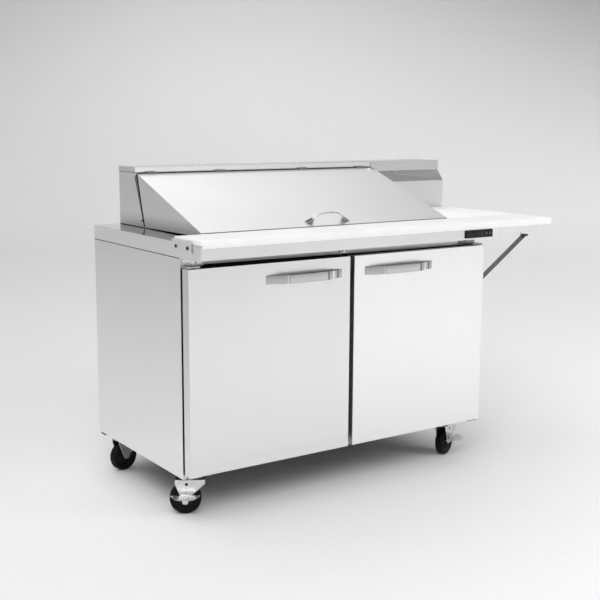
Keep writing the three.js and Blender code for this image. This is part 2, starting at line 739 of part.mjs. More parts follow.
// Machine bay at the back: compressor, condenser and its fan.
const COMPRESSOR = [205, 612];
const SHELL_R = 58;
const SHELL_TOP = CAB_BOTTOM + 165;
const DOME_R = 44;
const FOOT_HALF = [78, 52];
const FOOT_TOP = CAB_BOTTOM + 16;
add(
  "compressor",
  fuse(
    rodZ(SHELL_R, ...COMPRESSOR, [FOOT_TOP - 4, SHELL_TOP], 28),
    rodZ(DOME_R, ...COMPRESSOR, [SHELL_TOP - 5, SHELL_TOP + 17], 28),
    box(
      [COMPRESSOR[0] - FOOT_HALF[0], COMPRESSOR[0] + FOOT_HALF[0]],
      [COMPRESSOR[1] - FOOT_HALF[1], COMPRESSOR[1] + FOOT_HALF[1]],
      [ON_BASE, FOOT_TOP],
    ),
  ),
  blackPlastic(),
);
const CONDENSER_X = [430, 790];
const CONDENSER_Z = [ON_BASE, 430];
add(
  "condenser_coil",
  finnedCoil(CONDENSER_X, [620, 672], CONDENSER_Z, 16),
  copper(),
);
const condenserFan = add("condenser_fan", fan(92, 24, 30), blackPlastic());
condenserFan.position.set(610, 578, 290);

// Inlet collar where a supply cord would enter.
const collar = new THREE.LatheGeometry(
  [[7, 0], [12.5, 0], [12.5, -7], [9.5, -7], [9.5, -16], [7, -16], [7, 0]].map(
    ([r, h]) => new THREE.Vector2(r, h),
  ),
  20,
);
const inlet = add("cord_inlet", geometryOf(solid(collar)), blackPlastic());
inlet.position.set(INLET[0], CAB_BACK + 5, INLET[1]);

// ---- Doors --------------------------------------------------------------------------------
const HINGE_AT = [12, 26]; // X, Y of a door's pivot line, from its hinge edge and front
const PIN_R = 4;
const PIN_REACH = 9; // how far a hinge pin enters the door

// Every door shape is drawn for the left door; the right door mirrors it.
function door(side, span) {
  const left = side === "left";
  const place = left ? (x) => x : (x) => CAB_W - x;
  const spanX = (x0, x1) => (left ? [x0, x1] : mirror([x0, x1]));
  const pin = (radius, spanZ) => rodZ(radius, place(HINGE_AT[0]), HINGE_AT[1], spanZ, 16);
  const pinHoles = (radius) => [
    pin(radius, [DOOR_BOTTOM - 5, DOOR_BOTTOM + PIN_REACH + 3]),
    pin(radius, [DOOR_TOP - PIN_REACH - 3, DOOR_TOP + 5]),
  ];

  // Outer skin: front sheet with returns on all four edges.
  const returnY = DOOR_T - 8;
  add(
    `${side}_door_skin`,
    cut(
      box(span, [0, returnY], [DOOR_BOTTOM, DOOR_TOP]),
      box(
        [span[0] + SHEET, span[1] - SHEET],
        [SHEET, returnY + 1],
        [DOOR_BOTTOM + SHEET, DOOR_TOP - SHEET],
      ),
      ...pinHoles(PIN_R + 1),
    ),
    steel(),
  );

  // Foamed inner panel that fills the skin and closes the back.
  const inset = SHEET + GAP;
  add(
    `${side}_door_liner`,
    cut(
      fuse(
        box(
          [span[0] + inset, span[1] - inset],
          [inset, DOOR_T - 4],
          [DOOR_BOTTOM + inset, DOOR_TOP - inset],
        ),
        box([span[0] + 4, span[1] - 4], [DOOR_T - 6, DOOR_T], [DOOR_BOTTOM + 4, DOOR_TOP - 4]),
      ),
      ...pinHoles(PIN_R + 2),
    ),
    whitePlastic(),
  );

  // Magnetic gasket ring between the door and the frame.
  const edge = 16;
  const ring = 14;
  const gasketY = [DOOR_T + GAP, DOOR_T + GASKET_T];
  const gasketBox = (inset, spanY) =>
    box([span[0] + inset, span[1] - inset], spanY, [DOOR_BOTTOM + inset, DOOR_TOP - inset + 10]);
  add(
    `${side}_door_gasket`,
    cut(gasketBox(edge, gasketY), gasketBox(edge + ring, through(gasketY))),
    rubber(),
  );

  // Bow handle: a wide flat strap with its ends on the door.
  const [x0, x1] = HANDLE_X[side];
  const strap = 5;
  const steps = 16;
  const bow = (depth, reach) =>
    Array.from({ length: steps + 1 }, (_, i) => {
      const u = (2 * i) / steps - 1;
      return [(x0 + x1) / 2 + (u * reach) / 2, -GAP - depth * (1 - u ** 4)];
    });
  const bowOutline = [
    ...bow(HANDLE_RISE, x1 - x0),
    ...bow(HANDLE_RISE - strap, x1 - x0 - 2 * strap - 20).reverse(),
  ];
  add(
    `${side}_door_handle`,
    prismZ(bowOutline, [HANDLE_Z - HANDLE_H / 2, HANDLE_Z + HANDLE_H / 2]),
    zinc(),
  );

  // Hinge brackets above and below: a leaf on the frame, an arm and a pin.
  const bracket = (armZ, leafZ, pinZ) =>
    fuse(
      box(spanX(2, 78), [CAB_FRONT - 3.3, CAB_FRONT - GAP], leafZ),
      box(spanX(2, 46), [10, CAB_FRONT - 1], armZ),
      pin(PIN_R, pinZ),
    );
  add(
    `${side}_top_hinge`,
    bracket(
      [DOOR_TOP + 2, DOOR_TOP + 6],
      [DOOR_TOP + 2, DOOR_TOP + 26],
      [DOOR_TOP - PIN_REACH, DOOR_TOP + 4],
    ),
    zinc(),
  );
  add(
    `${side}_bottom_hinge`,
    bracket(
      [DOOR_BOTTOM - 6, DOOR_BOTTOM - 2],
      [ON_BASE, DOOR_BOTTOM - 2],
      [DOOR_BOTTOM - 4, DOOR_BOTTOM + PIN_REACH],
    ),
    zinc(),
  );
}
door("left", [0, DOOR_SPLIT[0]]);
door("right", [DOOR_SPLIT[1], CAB_W]);

// ---- Casters ------------------------------------------------------------------------------
// In a caster's own frame the swivel axis is the origin and the wheel trails towards -X.
function wheel() {
  const half = WHEEL_W / 2;
  const profile = [
    [AXLE_R + 1, -half],
    [20, -half],
    [36, -half + 4],
    [46, -half],
    [WHEEL_R, -half + 6],
    [WHEEL_R, half - 6],
    [46, half],
    [36, half - 4],
    [20, half],
    [AXLE_R + 1, half],
    [AXLE_R + 1, -half],
  ];
  const points = profile.map(([r, h]) => new THREE.Vector2(r, h));
  return geometryOf(solid(new THREE.LatheGeometry(points, 28)));
}

// Pressed fork: a crown with a tapered leg on each side of the wheel, and the axle.
function fork() {
  const crownX = [-68, 28];
  const leg = [
    [crownX[0], FORK_TOP],
    [crownX[1], FORK_TOP],
    [crownX[1], 104],
    [-18, 58],
    [-27, 44],
    [-43, 44],
    [-52, 58],
    [crownX[0], 104],
  ];
  const across = [-FORK_HALF - 1, FORK_HALF + 1];
  const crown = box(crownX, across, [FORK_TOP - FORK_GAUGE, FORK_TOP]);
  const legs = [-FORK_HALF - FORK_GAUGE, FORK_HALF].map((y) => prismY(leg, [y, y + FORK_GAUGE]));
  return fuse(crown, ...legs, rodY(AXLE_R, -TRAIL, across, WHEEL_R, 16));
}

// Toe pedal of a wheel brake: a long shallow tread, a toe tab and a pivot barrel.
function pedal() {
  const [y, z] = PEDAL_AXIS;
  const half = 48;
  const inner = y - 4;
  const outer = y - 50;
  const tread = [
    [-TRAIL - half, inner],
    [-TRAIL - half + 14, outer + 12],
    [-TRAIL - half + 30, outer],
    [-TRAIL + half - 30, outer],
    [-TRAIL + half - 14, outer + 12],
    [-TRAIL + half, inner],
  ];
  const barrel = [-TRAIL - 13, -TRAIL + 13];
  return fuse(
    prismZ(tread, [z - 2, z + 2]),
    box(barrel, [y - 12, y - 8], [z - 24, z]),
    box(barrel, [y - 6, y], [z - 1.5, z + 1.5]),
    rodX(2.5, barrel, y, z, 12),
  );
}

for (const { name, x, y, heading, brake } of CASTERS) {
  const caster = new THREE.Group();
  caster.position.set(x, y, 0);
  caster.rotation.z = THREE.MathUtils.degToRad(heading);
  table.add(caster);
  add(`${name}_caster_fork`, fork(), zinc(), caster);
  add(`${name}_caster_wheel`, wheel(), rubber(), caster).position.set(-TRAIL, 0, WHEEL_R);
  if (brake) add(`${name}_brake_pedal`, pedal(), zinc(), caster);
}

// The origin sits on the floor, at the middle of the whole table's outline seen from above.
table.updateMatrixWorld(true);
const middle = new THREE.Box3().setFromObject(table, true).getCenter(new THREE.Vector3());
table.position.set(-middle.x, -middle.y, 0);

export default table;
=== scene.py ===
"""Looks of the refrigerated prep table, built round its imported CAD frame. Metres, +Z up, front towards -Y."""
import json
import math

import bmesh
import bpy
from mathutils import Matrix, Vector


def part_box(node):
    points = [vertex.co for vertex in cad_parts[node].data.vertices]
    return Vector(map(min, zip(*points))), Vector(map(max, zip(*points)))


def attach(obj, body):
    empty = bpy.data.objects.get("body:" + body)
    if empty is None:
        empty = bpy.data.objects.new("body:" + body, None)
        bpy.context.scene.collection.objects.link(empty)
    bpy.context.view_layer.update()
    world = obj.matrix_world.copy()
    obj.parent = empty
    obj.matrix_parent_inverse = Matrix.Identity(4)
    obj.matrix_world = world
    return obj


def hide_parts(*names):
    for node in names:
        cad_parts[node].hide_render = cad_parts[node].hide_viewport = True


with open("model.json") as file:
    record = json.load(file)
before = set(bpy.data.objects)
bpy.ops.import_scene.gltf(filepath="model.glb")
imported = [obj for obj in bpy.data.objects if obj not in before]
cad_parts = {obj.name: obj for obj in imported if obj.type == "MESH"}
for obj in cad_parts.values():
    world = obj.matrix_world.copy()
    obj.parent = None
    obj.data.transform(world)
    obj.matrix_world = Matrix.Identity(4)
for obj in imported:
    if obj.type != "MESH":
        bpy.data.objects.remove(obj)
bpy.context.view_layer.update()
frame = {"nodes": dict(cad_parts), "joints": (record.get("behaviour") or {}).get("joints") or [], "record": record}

MM = 0.001
X, Y, Z = Vector((1, 0, 0)), Vector((0, 1, 0)), Vector((0, 0, 1))
BODY_OF = {node: body for body, nodes in frame["record"]["behaviour"]["bodies"].items() for node in nodes}
JOINTS = {joint["name"]: joint for joint in frame["joints"]}


# ---- Camera ----
CAMERA_FROM_CABINET = (-1494.5, -2778.5, 1248.8)     # millimetres, as at() takes them
CAMERA_YAW, CAMERA_PITCH, CAMERA_ROLL = (math.radians(a) for a in (34.388, -9.719, 0.289))
CAMERA_LENS = 63.32
SENSOR = 36.0


def make_camera():
    data = bpy.data.cameras.new("camera")
    data.lens, data.sensor_width = CAMERA_LENS, SENSOR
    camera = bpy.data.objects.new("camera", data)
    bpy.context.scene.collection.objects.link(camera)
    turn = Matrix.Rotation(-CAMERA_YAW, 4, "Z") @ Matrix.Rotation(math.pi / 2 + CAMERA_PITCH, 4, "X")
    roll = Matrix.Rotation(CAMERA_ROLL, 4, "Z")
    camera.matrix_world = Matrix.Translation(at(*CAMERA_FROM_CABINET)) @ turn @ roll
    bpy.context.scene.camera = camera


# ---- Mesh helpers ----
def across(axis):
    """Two unit vectors square to an axis and to each other."""
    side = X if abs(axis.dot(X)) < 0.9 else Y
    first = (side - axis * side.dot(axis)).normalized()
    return first, axis.cross(first)


def loft(bm, rings, capped=True, looped=False):
    """Skins a row of rings that have the same number of points."""
    rows = [[bm.verts.new(p) for p in ring] for ring in rings]
    count = len(rows[0])
    pairs = list(zip(rows, rows[1:])) + ([(rows[-1], rows[0])] if looped else [])
    for low, high in pairs:
        for i in range(count):
            j = (i + 1) % count
            bm.faces.new((low[i], low[j], high[j], high[i]))
    if capped and not looped:
        bm.faces.new(rows[0][::-1])
        bm.faces.new(rows[-1])


def prism(bm, outline, axis, span):
    """An outline in the two axes other than `axis` (0, 1 or 2), carried along it over a span."""
    def point(u, v, w):
        coords = [u, v]
        coords.insert(axis, w)
        return coords
    loft(bm, [[point(u, v, w) for u, v in outline] for w in span])


def box(bm, low, high):
    (x0, y0, z0), (x1, y1, z1) = low, high
    prism(bm, [(x0, y0), (x1, y0), (x1, y1), (x0, y1)], 2, (z0, z1))


def circle(centre, axis, radius, sides, start=0.0):
    u, v = across(axis)
    turns = [start + 2 * math.pi * i / sides for i in range(sides)]
    return [centre + radius * (math.cos(t) * u + math.sin(t) * v) for t in turns]


def lathe(bm, profile, foot, axis, sides=32, looped=False):
    """Turns (radius, height) pairs about an axis through foot."""
    rings = [circle(foot + axis * h, axis, max(r, 1e-5), sides) for r, h in profile]
    loft(bm, rings, looped=looped)


def tube(bm, points, radius, sides=12, closed=False):
    """A round bar along a smooth row of points."""
    points = [Vector(p) for p in points]
    count = len(points)
    rings, u = [], None
    for i, p in enumerate(points):
        ahead = points[(i + 1) % count] if closed or i < count - 1 else p
        behind = points[i - 1] if closed or i > 0 else p
        along = (ahead - behind).normalized()
        u = across(along)[0] if u is None else (u - along * u.dot(along)).normalized()
        v = along.cross(u)
        turns = [2 * math.pi * k / sides for k in range(sides)]
        rings.append([p + radius * (math.cos(t) * u + math.sin(t) * v) for t in turns])
    loft(bm, rings, looped=closed)


def rounded(x0, x1, y0, y1, radius, steps=6):
    """Outline of a rectangle with round corners; radius is one number or one per corner."""
    radii = [radius] * 4 if isinstance(radius, (int, float)) else radius
    corners = [(x0, y0, 1, 1, 180), (x1, y0, -1, 1, 270), (x1, y1, -1, -1, 0), (x0, y1, 1, -1, 90)]
    outline = []
    for (x, y, sx, sy, start), r in zip(corners, radii):
        for i in range(steps + 1):
            t = math.radians(start + 90 * i / steps)
            outline.append((x + sx * r + r * math.cos(t), y + sy * r + r * math.sin(t)))
    return outline


def span_of(node, direction):
    """Lowest and highest reach of a CAD node along a direction."""
    reach = [Vector(v.co).dot(direction) for v in frame["nodes"][node].data.vertices]
    return min(reach), max(reach)


def piece(name, bm, material, body, slot, stands_for=(), bevel=0.0, angle=35, flat=False):
    """Turns a bmesh into a shown piece that rides on a body. bevel is in millimetres, angle in degrees,
    and flat keeps every shallow fold crisp."""
    bmesh.ops.recalc_face_normals(bm, faces=bm.faces)
    if bm.calc_volume(signed=True) < 0:
        bmesh.ops.reverse_faces(bm, faces=bm.faces)
    mesh = bpy.data.meshes.new(name)
    bm.to_mesh(mesh)
    bm.free()
    mesh.materials.append(material)
    for polygon in mesh.polygons:
        polygon.use_smooth = True
    made = bpy.data.objects.new(name, mesh)
    bpy.context.scene.collection.objects.link(made)
    if flat:
        mesh.set_sharp_from_angle(angle=math.radians(1))
    if bevel:
        soften = made.modifiers.new("edges", "BEVEL")
        soften.width, soften.segments = bevel * MM, 2
        soften.limit_method, soften.angle_limit = "ANGLE", math.radians(angle)
        soften.harden_normals = True
    else:
        mesh.set_sharp_from_angle(angle=math.radians(angle))
    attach(made, body)
    if stands_for:
        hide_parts(*stands_for)
    return made


def from_node(node):
    """A clean bmesh of a CAD node: shared corners merged and flat facets joined."""
    bm = bmesh.new()
    bm.from_mesh(frame["nodes"][node].data)
    bmesh.ops.remove_doubles(bm, verts=bm.verts, dist=1e-5)
    bmesh.ops.dissolve_limit(bm, angle_limit=math.radians(0.5), verts=bm.verts, edges=bm.edges)
    return bm


def dress(node, material, slot, bevel):
    """Shows a CAD node's own shape with softened edges and a real finish."""
    return piece(f"{node}_body", from_node(node), material, BODY_OF[node], slot, (node,), bevel, flat=True)


# ---- Materials ----
class Finish:
    """A node material: a Principled shader plus the textures that drive it."""

    def __init__(self, name, **constants):
        self.material = bpy.data.materials.new(name)
        self.material.use_nodes = True
        self.tree = self.material.node_tree
        self.shader = self.tree.nodes["Principled BSDF"]
        for socket, value in constants.items():
            self.shader.inputs[socket.replace("_", " ")].default_value = value
        self.place = self.node("ShaderNodeTexCoord").outputs["Object"]

    def node(self, kind, **inputs):
        made = self.tree.nodes.new(kind)
        for key, value in inputs.items():
            self.set(made.inputs[key.replace("_", " ")], value)
        return made

    def set(self, socket, value):
        if isinstance(value, bpy.types.NodeSocket):
            self.tree.links.new(value, socket)
        else:
            socket.default_value = value

    def noise(self, scale, stretch=(1, 1, 1), detail=3.0, rough=0.55):
        mapping = self.node("ShaderNodeMapping", Vector=self.place, Scale=stretch)
        made = self.node("ShaderNodeTexNoise", Vector=mapping.outputs[0], Scale=scale, Detail=detail,
                         Roughness=rough)
        return made.outputs["Fac"]

    def cells(self, scale):
        """How far each spot lies from the nearest of scattered points."""
        return self.node("ShaderNodeTexVoronoi", Vector=self.place, Scale=scale).outputs["Distance"]

    def between(self, fac, low=0, high=1, start=0.3, end=0.7):
        """fac mapped from start..end to low..high."""
        made = self.node("ShaderNodeMapRange", Value=fac)
        for key, value in (("From Min", start), ("From Max", end), ("To Min", low), ("To Max", high)):
            made.inputs[key].default_value = value
        return made.outputs["Result"]

    def blend(self, fac, low, high):
        """A colour between two, by fac."""
        made = self.tree.nodes.new("ShaderNodeMix")
        made.data_type = "RGBA"
        self.set(made.inputs["Factor"], fac)
        self.set(made.inputs["A"], low)
        self.set(made.inputs["B"], high)
        return made.outputs["Result"]

    def faded(self, colour, axis, start, end, low, high):
        """A colour scaled from low to high along one axis of the frame."""
        place = self.node("ShaderNodeSeparateXYZ", Vector=self.place).outputs[axis]
        made = self.node("ShaderNodeVectorMath", Vector=colour)
        made.operation = "SCALE"
        self.set(made.inputs["Scale"], self.between(place, low, high, start, end))
        return made.outputs["Vector"]

    def product(self, first, second):
        made = self.tree.nodes.new("ShaderNodeMath")
        made.operation = "MULTIPLY"
        self.set(made.inputs[0], first)
        self.set(made.inputs[1], second)
        return made.outputs[0]

    def colour(self, value):
        self.set(self.shader.inputs["Base Color"], value)

    def roughness(self, value):
        self.set(self.shader.inputs["Roughness"], value)

    def relief(self, height, distance, strength):
        bump = self.node("ShaderNodeBump", Height=height, Distance=distance, Strength=strength)
        self.set(self.shader.inputs["Normal"], bump.outputs[0])


def grey(level):
    return (level, level, level, 1.0)


GRAIN = {"x": (1.2, 90, 90), "z": (90, 90, 1.2)}       # noise is stretched along the grain
MOTTLE = 0.012                                         # how far smears shift a steel's tone


def brushed(name, level, rough, grain="x", light_fade=None):
    """Brushed stainless steel: fine grain along one axis, soft smears and a few stray scratches.
    light_fade paints light and shade as a gradient: (axis letter, start, end, factor at start, factor at end),
    metres in the frame."""
    f = Finish(name, Metallic=1.0)
    strokes = f.noise(14, GRAIN[grain], detail=4)
    smears = f.noise(3.2, detail=5, rough=0.62)
    scratches = f.noise(5, tuple(v * 0.35 for v in GRAIN[grain]), detail=2)
    tone = f.blend(f.between(smears), grey(level - MOTTLE), grey(level + MOTTLE))
    tone = f.blend(f.between(strokes, 0.0, 0.35), tone, grey(level + 0.05))
    f.colour(f.faded(tone, *light_fade) if light_fade else tone)
    f.roughness(f.between(smears, rough - 0.04, rough + 0.05, 0.25, 0.75))
    worn = f.blend(f.between(scratches, 0, 0.3, 0.62, 0.7), strokes, grey(1.0))
    f.relief(worn, 0.05 * MM, 0.12)
    return f.material


def zinc_plate(name, level=0.62, rough=0.24):
    """Bright zinc plate with faint clouding and small scuffs."""
    f = Finish(name, Metallic=1.0)
    cloud = f.noise(35, detail=4)
    scuff = f.noise(140, (1, 1, 0.4), detail=2)
    f.colour(f.blend(f.between(cloud), grey(level - 0.08), grey(level + 0.06)))
    f.roughness(f.between(scuff, rough - 0.06, rough + 0.14))
    f.relief(scuff, 0.02 * MM, 0.25)
    return f.material


def galvanised(name, level=1.0):
    """Galvanised sheet with its crystal spangle; a level below one darkens the sheet as painted shade."""
    f = Finish(name, Metallic=0.9)
    spangle = f.cells(130)
    dirt = f.noise(6, detail=5)
    tone = f.between(spangle, 0, 1, 0.0, 0.9)
    f.colour(f.blend(tone, grey(0.62 * level), f.blend(dirt, grey(0.46 * level), grey(0.56 * level))))
    f.roughness(f.between(spangle, 0.34, 0.52, 0.0, 0.8))
    f.relief(dirt, 0.05 * MM, 0.4)
    return f.material


def cutting_poly(name):
    """White polyethylene with a matt orange-peel skin and faint knife marks."""
    f = Finish(name, Subsurface_Weight=0.06, Specular_IOR_Level=0.45)
    f.shader.inputs["Subsurface Radius"].default_value = (0.004, 0.004, 0.004)
    skin = f.noise(650, detail=2)
    marks = f.noise(9, (60, 3, 1), detail=3)
    wear = f.noise(4, detail=5)
    f.colour(f.blend(f.between(wear), grey(0.87), grey(0.925)))
    f.roughness(f.between(wear, 0.40, 0.56))
    f.relief(f.blend(f.between(marks, 0, 0.5, 0.6, 0.72), skin, grey(0.0)), 0.06 * MM, 0.5)
    return f.material


def moulded(name, level, rough, texture=900, vary=0.25, shine=0.4):
    """Moulded plastic or rubber with a fine spark-eroded skin."""
    f = Finish(name, Specular_IOR_Level=shine)
    skin = f.noise(texture, detail=2)
    patch = f.noise(9, detail=4)
    f.colour(f.blend(f.between(patch), grey(level * (1 - vary)), grey(level * (1 + vary))))
    f.roughness(f.between(patch, rough - 0.06, rough + 0.08))
    f.relief(skin, 0.08 * MM, 0.5)
    return f.material


def glossy(name, level, rough):
    """A smooth display lens with faint dust."""
    f = Finish(name, Coat_Weight=0.1, Coat_Roughness=0.05, Specular_IOR_Level=0.2)
    dust = f.noise(420, detail=3)
    f.colour(f.blend(f.between(dust, 0, 1, 0.6, 0.8), grey(level), grey(level + 0.02)))
    f.roughness(f.between(dust, rough, rough + 0.1))
    return f.material


def painted(name, level, rough):
    """Powder coat over steel, rubbed thin in spots."""
    f = Finish(name)
    peel = f.noise(260, detail=3)
    rubbed = f.between(f.noise(55, detail=6, rough=0.7), 0, 1, 0.66, 0.74)
    f.colour(f.blend(rubbed, grey(level), grey(0.34)))
    f.set(f.shader.inputs["Metallic"], f.product(rubbed, 0.8))
    f.roughness(f.between(peel, rough - 0.05, rough + 0.1))
    f.relief(peel, 0.1 * MM, 0.6)
    return f.material


def foam_skin(name):
    f = Finish(name)
    pores = f.cells(700)
    f.colour(f.blend(pores, (0.66, 0.56, 0.30, 1), (0.78, 0.70, 0.42, 1)))
    f.roughness(f.between(pores, 0.7, 0.95, 0, 1))
    f.relief(pores, 0.4 * MM, 0.6)
    return f.material


def copper(name):
    f = Finish(name, Metallic=1.0)
    tarnish = f.noise(30, detail=5)
    f.colour(f.blend(f.between(tarnish), (0.62, 0.30, 0.18, 1), (0.42, 0.22, 0.14, 1)))
    f.roughness(f.between(tarnish, 0.25, 0.5))
    return f.material


CABINET_STEEL = brushed("cabinet_steel_finish", 0.86, 0.30, "z")
# Painted light: both doors' steel darkens towards the top.
LEFT_DOOR_STEEL = brushed("left_door_finish", 0.78, 0.34, "z", light_fade=("Z", 0.2, 0.72, 1.05, 0.91))
DOOR_STEEL = brushed("door_steel_finish", 0.82, 0.34, "z", light_fade=("Z", 0.2, 0.6, 1.07, 0.99))
TOP_STEEL = brushed("top_steel_finish", 0.66, 0.30, "x")
TOP_POLISHED = brushed("top_polished_finish", 0.72, 0.13, "x")
SHELF_STEEL = brushed("shelf_steel_finish", 0.77, 0.30, "x")
SKIRT_STEEL = brushed("skirt_steel_finish", 0.92, 0.30, "z")
# Painted light: the fascia's steel lightens towards the right.
FASCIA_STEEL = brushed("fascia_steel_finish", 0.68, 0.30, "x", light_fade=("X", 0.36, 0.45, 1.0, 1.15))
HOOD_STEEL = brushed("hood_steel_finish", 0.78, 0.22, "x")
# Painted shade: a dark steel for the front frame's face under the worktop's overhang, lightening towards the right
# as painted light.
FRAME_SHADE_STEEL = brushed("frame_shade_steel_finish", 0.46, 0.36, "x", light_fade=("X", -0.1, 0.4, 1.0, 1.6))
WING_SHADE_STEEL = brushed("wing_shade_steel_finish", 0.60, 0.28, "x")
GRILLE_STEEL = brushed("grille_steel_finish", 0.58, 0.40, "x")
# Painted light and shade for faces that look left or right, darker towards the bottom.
CHEEK_LIGHT_STEEL = brushed("cheek_light_steel_finish", 0.80, 0.30, "z", light_fade=("Z", 0.885, 0.93, 0.74, 1.03))
# Painted light: the cap's steel lightens towards the left.
CAP_STEEL = brushed("cap_steel_finish", 0.78, 0.24, "x", light_fade=("X", -0.7, 0.35, 1.22, 0.94))
LID_STEEL = brushed("lid_steel_finish", 0.76, 0.30, "x")
LIP_SHADE_STEEL = brushed("lip_shade_steel_finish", 0.40, 0.34, "x")
GLINT_STEEL = brushed("glint_steel_finish", 0.78, 0.3, "z")
SHADE_STEEL = brushed("shade_steel_finish", 0.2, 0.3, "z")
HANDLE_STEEL = brushed("handle_steel_finish", 0.44, 0.22, "x")
PAN_STEEL = brushed("pan_steel_finish", 0.66, 0.24, "x")
LINER_METAL = brushed("liner_aluminium_finish", 0.70, 0.42, "z")
ZINC = zinc_plate("zinc_finish")
PLATED = zinc_plate("plated_finish", 0.52, 0.30)
FORK_ZINC = zinc_plate("fork_zinc_finish", 0.71, 0.28)
GALVANISED = galvanised("galvanised_finish")
# Painted shade: a dark galvanising for the base pan, deepening the shadow on the floor under the cabinet.
UNDERSIDE_SHADE = galvanised("underside_shade_finish", 0.12)
POLY = cutting_poly("board_white_finish")
BLACK_PLASTIC = moulded("black_plastic_finish", 0.009, 0.42, shine=0.25)
WHITE_PLASTIC = moulded("white_plastic_finish", 0.78, 0.46, vary=0.03)
KEY_GREY = moulded("key_grey_finish", 0.16, 0.5, vary=0.1)
GASKET = moulded("gasket_finish", 0.006, 0.7, shine=0.12)
TYRE = moulded("tyre_finish", 0.005, 0.6, texture=500, vary=0.4, shine=0.15)
BLACK_PAINT = painted("black_paint_finish", 0.02, 0.42)
BRACE_PAINT = painted("brace_paint_finish", 0.11, 0.38)
FOAM = foam_skin("foam_finish")
COPPER = copper("copper_finish")
LENS = glossy("lens_finish", 0.005, 0.12)
SCREW_DARK = zinc_plate("screw_finish", 0.10, 0.38)
HINGE_SHADE = zinc_plate("hinge_shade_finish", 0.34, 0.32)


# ---- Fasteners ----
def button_screw(bm, foot, normal, radius):
    """A round-head screw with a socket, standing on a face."""
    height = radius * 0.55
    profile = [(radius, 0), (radius, 0.3), (radius * 0.9, 0.65), (radius * 0.7, 0.9),
               (radius * 0.48, 1.0), (radius * 0.42, 0.95), (radius * 0.4, 0.3), (0, 0.28)]
    lathe(bm, [(r, h * height) for r, h in profile], foot, normal, 18)


def hex_bolt(bm, foot, normal, radius):
    """A hexagon head on a plain washer."""
    washer = [(radius * 1.35, 0), (radius * 1.35, radius * 0.14), (radius * 1.25, radius * 0.2),
              (0, radius * 0.2)]
    lathe(bm, washer, foot, normal, 24)
    low, top = radius * 0.2, radius * 0.95
    head = ((radius, low), (radius, top * 0.9), (radius * 0.86, top))
    loft(bm, [circle(foot + normal * h, normal, r, 6) for r, h in head])


def fasteners(name, places, radius, kind=button_screw, material=PLATED, slot="plated_steel", body="cabinet"):
    """One piece that holds a row of equal fasteners, their radius in millimetres; places are
    (point, outward normal) pairs."""
    bm = bmesh.new()
    for point, normal in places:
        kind(bm, point, normal, radius * MM)
    piece(name, bm, material, body, slot)


# ---- Sheet metal and other shapes that the frame already holds ----
SHEETS = [                                              # nodes, finish, slot, bevel in millimetres
    ("left_side_panel right_side_panel", CABINET_STEEL, "cabinet_steel", 0.9),
    # The front frame takes the dark steel as painted shade.
    ("front_frame", FRAME_SHADE_STEEL, "cabinet_steel", 0.6),
    ("back_panel", GALVANISED, "galvanised", 0.5),
    ("rear_grille", GRILLE_STEEL, "galvanised", 0.6),
    # The base pan takes the dark galvanising as painted shade.
    ("base_pan", UNDERSIDE_SHADE, "galvanised", 0.7),
    ("insulation", FOAM, "foam", 1.0),
    ("inner_liner", LINER_METAL, "liner_aluminium", 0.9),
    ("side_shelf", SHELF_STEEL, "top_steel", 0.8),
    ("board_clip", SKIRT_STEEL, "top_steel", 0.9),
    ("lid_liner", WHITE_PLASTIC, "white_plastic", 3.0),
    ("evaporator_housing", LINER_METAL, "liner_aluminium", 0.8),
    ("condenser_coil", LINER_METAL, "coil_copper", 0.3),
    ("front_brace rear_brace", BRACE_PAINT, "brace_paint", 0.8),
    ("left_door_skin", LEFT_DOOR_STEEL, "door_steel", 1.3),
    ("right_door_skin", DOOR_STEEL, "door_steel", 1.3),
    ("left_door_liner right_door_liner", WHITE_PLASTIC, "white_plastic", 1.2),
    ("left_top_hinge left_bottom_hinge", ZINC, "plated_steel", 0.6),
    ("right_bottom_hinge", SCREW_DARK, "plated_steel", 0.6),
]
for nodes, material, slot, bevel in SHEETS:
    for node in nodes.split():
        dress(node, material, slot, bevel)


def repaint(made, material, chosen):
    """Gives the faces that chosen(centre, normal) picks a material of their own."""
    mesh = made.data
    mesh.materials.append(material)
    for polygon in mesh.polygons:
        if chosen(polygon.center, polygon.normal):
            polygon.material_index = len(mesh.materials) - 1


def cheek(centre, normal):
    """Faces that look left or right, which take steels of their own as painted light and shade."""
    return abs(normal.x) > 0.9


def shaded_knuckles(centre, normal):
    """The lid's knuckles round its hinge line, darkened as painted shade."""
    _, y, z = JOINTS["lid_hinge"]["pos_m"]
    knuckle_reach = 10 * MM
    return math.hypot(centre.y - y, centre.z - z) < knuckle_reach


def lip(centre, normal):
    """The lid's turned-down front edge, which takes painted shade."""
    return normal.y < -0.5 and normal.z < 0.1


worktop = dress("worktop", TOP_STEEL, "top_steel", 0.8)
repaint(worktop, TOP_POLISHED, lambda centre, normal: normal.z > 0.9)
# Painted light: the worktop's faces that look left or right take the brighter skirt steel.
repaint(worktop, SKIRT_STEEL, cheek)
fascia = dress("front_fascia", FASCIA_STEEL, "top_steel", 0.8)
# Painted light: the fascia's faces that look left or right take the brighter skirt steel.
repaint(fascia, SKIRT_STEEL, cheek)
# Painted light and shade: the hinge in a dark zinc, its top faces in the lighter fork zinc.
top_hinge = dress("right_top_hinge", HINGE_SHADE, "plated_steel", 0.6)
repaint(top_hinge, FORK_ZINC, lambda centre, normal: normal.z > 0.9)
hood = dress("hood_shell", HOOD_STEEL, "hood_steel", 0.8)
# Painted light and shade: the hood's faces that look left or right take the cheek steel.
repaint(hood, CHEEK_LIGHT_STEEL, cheek)
lid = dress("lid_shell", LID_STEEL, "lid_steel", 0.7)
# Painted light and shade: the lid's faces that look left or right take the cheek steel.
repaint(lid, CHEEK_LIGHT_STEEL, cheek)
# Painted shade: the knuckles darkened to carry on the shadow line under the cap.
repaint(lid, HINGE_SHADE, shaded_knuckles)
